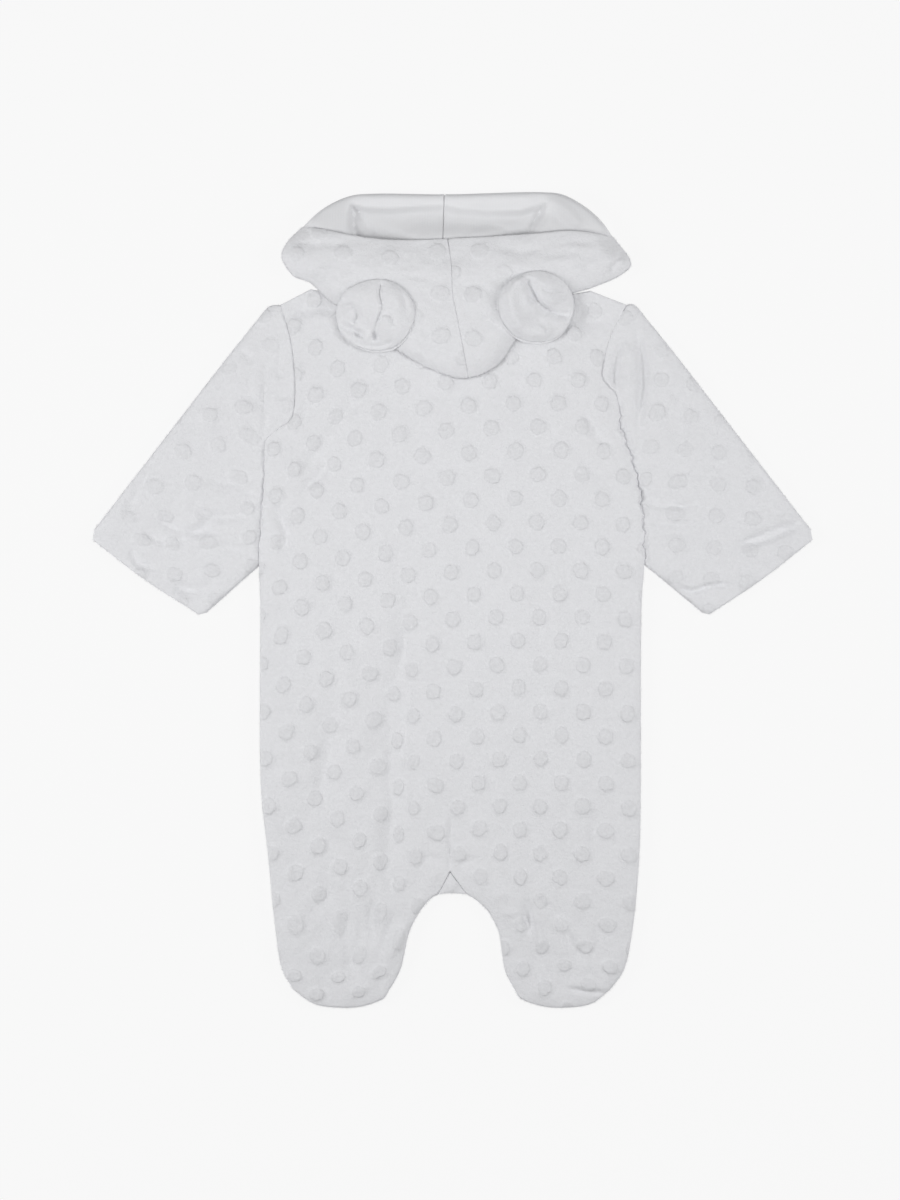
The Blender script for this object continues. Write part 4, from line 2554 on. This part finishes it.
def make_sleeves() -> tuple[Sleeve, Sleeve]:
    """Both sleeves with their own creases and rows of dots.

    Returns:
        Left and right sleeve.
    """
    cut = Cut(0.27, 0.16, 0.0325)
    left = Sleeve(
        Side.LEFT, cut, (-122, 196.5), (-132, 185.5), (-239.6, 47), (-240.5, 40), (-169.5, -9.9),
        (-164.5, -8.6), DotRows(-157, 103.4, 15.3, 16.85, 48.7, lean=11.6, pulls=(
            Pull(-170, 60, 5, -3, 60, 40), Pull(-140, 68, 8, 0, 16, 36), Pull(-210, 38, 8, 8, 20, 16),
            Pull(-140, 112, -8, 4, 16, 16), Pull(-146, 150, -9, 9, 16, 14))),
        (
            Valley(((-121, 166), (-125, 148), (-126.6, 135.6), (-125.6, 122), (-126, 110)), 2.0, 7, 26),
            Crease(((-114.5, 168), (-116, 152), (-111, 146)), 0.7, 2.2, taper=6),
            Crease(((-109, 135), (-119, 136)), 0.5, 2.2, taper=4),
            Crease(((-215, 36), (-210, 24), (-196, 21)), 0.9, 2.4, taper=7),
            Crease(((-193, 101), (-207, 77), (-222, 50)), 1.3, 4.2, taper=16),
            Crease(((-165, 80), (-146, 78), (-130, 84)), 1.0, 3.4, taper=9),
            Crease(((-178, 64), (-158, 55), (-134, 58)), 1.2, 3.4, taper=9),
            Crease(((-200, 56), (-180, 46), (-160, 50)), 1.1, 3.2, taper=9),
            Crease(((-208, 46), (-190, 38), (-176, 42)), 0.9, 2.6, taper=6),
            Crease(((-176, 30), (-156, 36), (-134, 30)), 0.9, 3.2, taper=9),
            Crease(((-190, 12), (-172, 6), (-158, 12)), 0.7, 3.2, taper=9),
            Crease(((-141, 72), (-131, 70)), 0.9, 1.2, taper=4),
            Crease(((-140, 66), (-131, 65)), 0.9, 1.2, taper=4),
            Hollow(-179, 7, 1.2, 7, 4), Hollow(-167, 165, 0.6, 8, 12, -52),
            Crease(((-142, 168), (-132, 158)), 1.0, 3.0, taper=6),
            Rumple(43, 30, -180, 50, 50, 50, 20, 35, 12, 3.2, 0.6),
            Rumple(44, 16, -145, 130, 26, 40, 70, 35, 12, 3.4, 0.45),
            Wander(41, 0.4, 30.0),
            Wander(42, 0.14, 11.0),
        ),
        (Hollow(-118, 140, 0.9, 9, 30), Hollow(-150, 172, 0.9, 16, 16), Hollow(-225, 52, 0.8, 12, 12)),
    )
    right = Sleeve(
        Side.RIGHT, cut, (121, 197.5), (131, 186.5), (239.6, 47), (240.5, 40), (171.5, -9.8),
        (167.3, -8.8), DotRows(156, 100, 16.2, 15.8, 37.2, lean=7, pulls=(
            Pull(145, 68, -6, 0, 14, 22), Pull(140, 140, 4, 3, 22, 30), Pull(190, 100, -3, 0, 26, 24))),
        (
            Crease(((112, 130), (108, 146), (109, 158), (114, 178)), 1.5, 2.2, taper=16),
            Crease(((117.5, 126), (118, 148), (118, 170)), -0.9, 5.5, taper=16),
            Crease(((123, 108), (125.5, 127), (127.6, 148), (126, 164), (121, 186)), 1.7, 2.6, taper=24),
            Crease(((236, 52), (220, 46.5), (205.5, 40.7), (186, 34)), 2.6, 4.0, taper=14),
            Crease(((214, 43), (205.5, 40.7), (194, 38)), 1.0, 1.6, taper=6),
            Crease(((150, 8.6), (160, 5.6), (172, 9.4), (186, 10.4)), 1.7, 1.7, taper=7),
            Crease(((128, 64), (148, 62), (168, 65)), 0.9, 1.8, taper=8),
            Crease(((128, 52), (148, 50), (166, 51)), 0.7, 2.0, taper=8),
            Crease(((130, 43), (150, 44.5), (168, 44)), 0.6, 2.2, taper=8),
            Crease(((196, 96), (214, 70)), 0.7, 4.0, taper=10),
            Crease(((210, 62), (222, 56)), 0.9, 2.4, taper=5),
            Rumple(53, 26, 182, 48, 46, 46, 12, 30, 12, 3.2, 0.5),
            Rumple(54, 14, 150, 130, 22, 36, 100, 35, 12, 3.4, 0.4),
            Wander(51, 0.4, 30.0),
            Wander(52, 0.14, 11.0),
        ),
        (Hollow(112, 140, 0.95, 12, 30), Hollow(137, 171, 0.5, 12, 12), Hollow(222, 52, 0.6, 12, 10),
         Hollow(190, 120, 0.5, 14, 14)),
    )
    return left, right


def make_ears(hood: Hood) -> tuple[Ear, Ear]:
    """Both ears, each crumpled in its own way.

    Args:
        hood: The hood that they lie on.

    Returns:
        Left and right ear.
    """
    left = Ear(
        Side.LEFT, hood, -51.3, 189.6, 26.6, 23.6,
        (
            Valley(((-46.5, 214), (-48.5, 203), (-46.8, 194), (-50.5, 184), (-52, 176)), 2.2, 2.6, 6),
            Valley(((-74, 195), (-66, 194.6), (-63.2, 188), (-67, 183)), 2.4, 4, 3),
            Valley(((-76, 184), (-67, 180), (-62.5, 177), (-57, 173)), 3.0, 4, 4),
            Valley(((-50, 184), (-45.5, 189.5), (-40.5, 187), (-40, 181)), 2.3, 3.6, 3),
            Valley(((-74, 176), (-62, 170), (-48, 169), (-38, 173)), 2.3, 3.4, 5),
            Crease(((-36, 206), (-31, 196), (-31, 186)), 0.8, 2.6, taper=6),
            Hollow(-62.6, 177.6, 4.6, 2.2, 1.8, -25), Hollow(-51.6, 175.6, 4.6, 2.0, 2.6),
            Hollow(-69.5, 180, 1.2, 5, 2.6, -20), Hollow(-57.2, 174.8, -1.0, 2.6, 2.2),
            Hollow(-69, 190, -0.9, 4, 3.4),
            Hollow(-45, 187, -0.9, 3, 3), Hollow(-38, 203, -0.8, 6, 6), Hollow(-58, 202, -0.5, 8, 6),
            Rumple(91, 14, -51, 190, 20, 18, 60, 60, 6, 1.8, 0.4),
        ), 4.8,
    )
    right = Ear(
        Side.RIGHT, hood, 55.8, 195.2, 25.6, 23.6,
        (
            Valley(((48, 214), (52, 207), (55, 200.5), (61.5, 194), (72, 190.4), (81, 190)), 5.4, 6.5, 5),
            Crease(((50, 214), (41, 211), (38, 202), (40, 190), (47, 181), (57, 177.5), (68, 180)),
                   -3.4, 5.0, taper=8),
            Hollow(66, 199, -1.2, 8, 5, 20), Hollow(60, 210, -0.8, 8, 4, -25),
            Valley(((57, 207), (66, 204.5), (79, 207)), 2.2, 4, 5),
            Crease(((70, 198), (76, 201)), 1.2, 1.2, taper=3),
            Crease(((34, 205), (40, 214), (48, 217)), 0.9, 2.0, taper=5),
            Crease(((44, 187), (52, 184)), 0.7, 2.4, taper=4),
            Hollow(54, 201, 2.4, 2.4, 3.4),
            Rumple(92, 14, 56, 195, 20, 18, -30, 60, 6, 1.8, 0.4),
        ), 5.0,
    )
    return left, right


def main() -> None:
    """Builds the suit and its surroundings in order."""
    logging.basicConfig(level=logging.INFO, format="%(message)s")
    Studio().build()
    back_plush = PlushFinish("back_dotted_plush", PLUSH_COLOUR, 1.0, 0.25).build()
    sleeve_plush = PlushFinish(
        "sleeve_dotted_plush", PLUSH_COLOUR, 1.0, 0.25, along=16.0, across=16.0).build()
    hood_plush = PlushFinish("hood_dotted_plush", PLUSH_COLOUR, 1.0, 0.25, along=14.5, across=15.0).build()
    plain_plush = PlushFinish("ear_plush", PLUSH_COLOUR, 1.0, 0.25, along=0.0).build()
    jersey = JerseyFinish("lining_jersey", JERSEY_COLOUR, 0.9, 0.1).build()
    tape = TapeFinish("zip_woven_tape", (0.72, 0.72, 0.73), 0.8, 0.0).build()
    BackPanel().build(back_plush)
    CrotchGusset().build(plain_plush)
    for side in Side:
        FrontPanel(side).build(back_plush)
    FrontZip().build(tape)
    thread = ThreadFinish("zip_coil_thread", (0.74, 0.74, 0.75), 0.55, 0.0).build()
    ZipCoil().build(thread)
    sleeves = make_sleeves()
    for sleeve in sleeves:
        sleeve.build(sleeve_plush)
    hood = Hood()
    for side in Side:
        hood.shell(side, hood_plush)
        hood.lining(side, jersey)
    ears = make_ears(hood)
    for ear in ears:
        ear.build(plain_plush)
    NapEdge().build(sleeves, hood, ears, plain_plush)


if __name__ == "__main__":
    main()
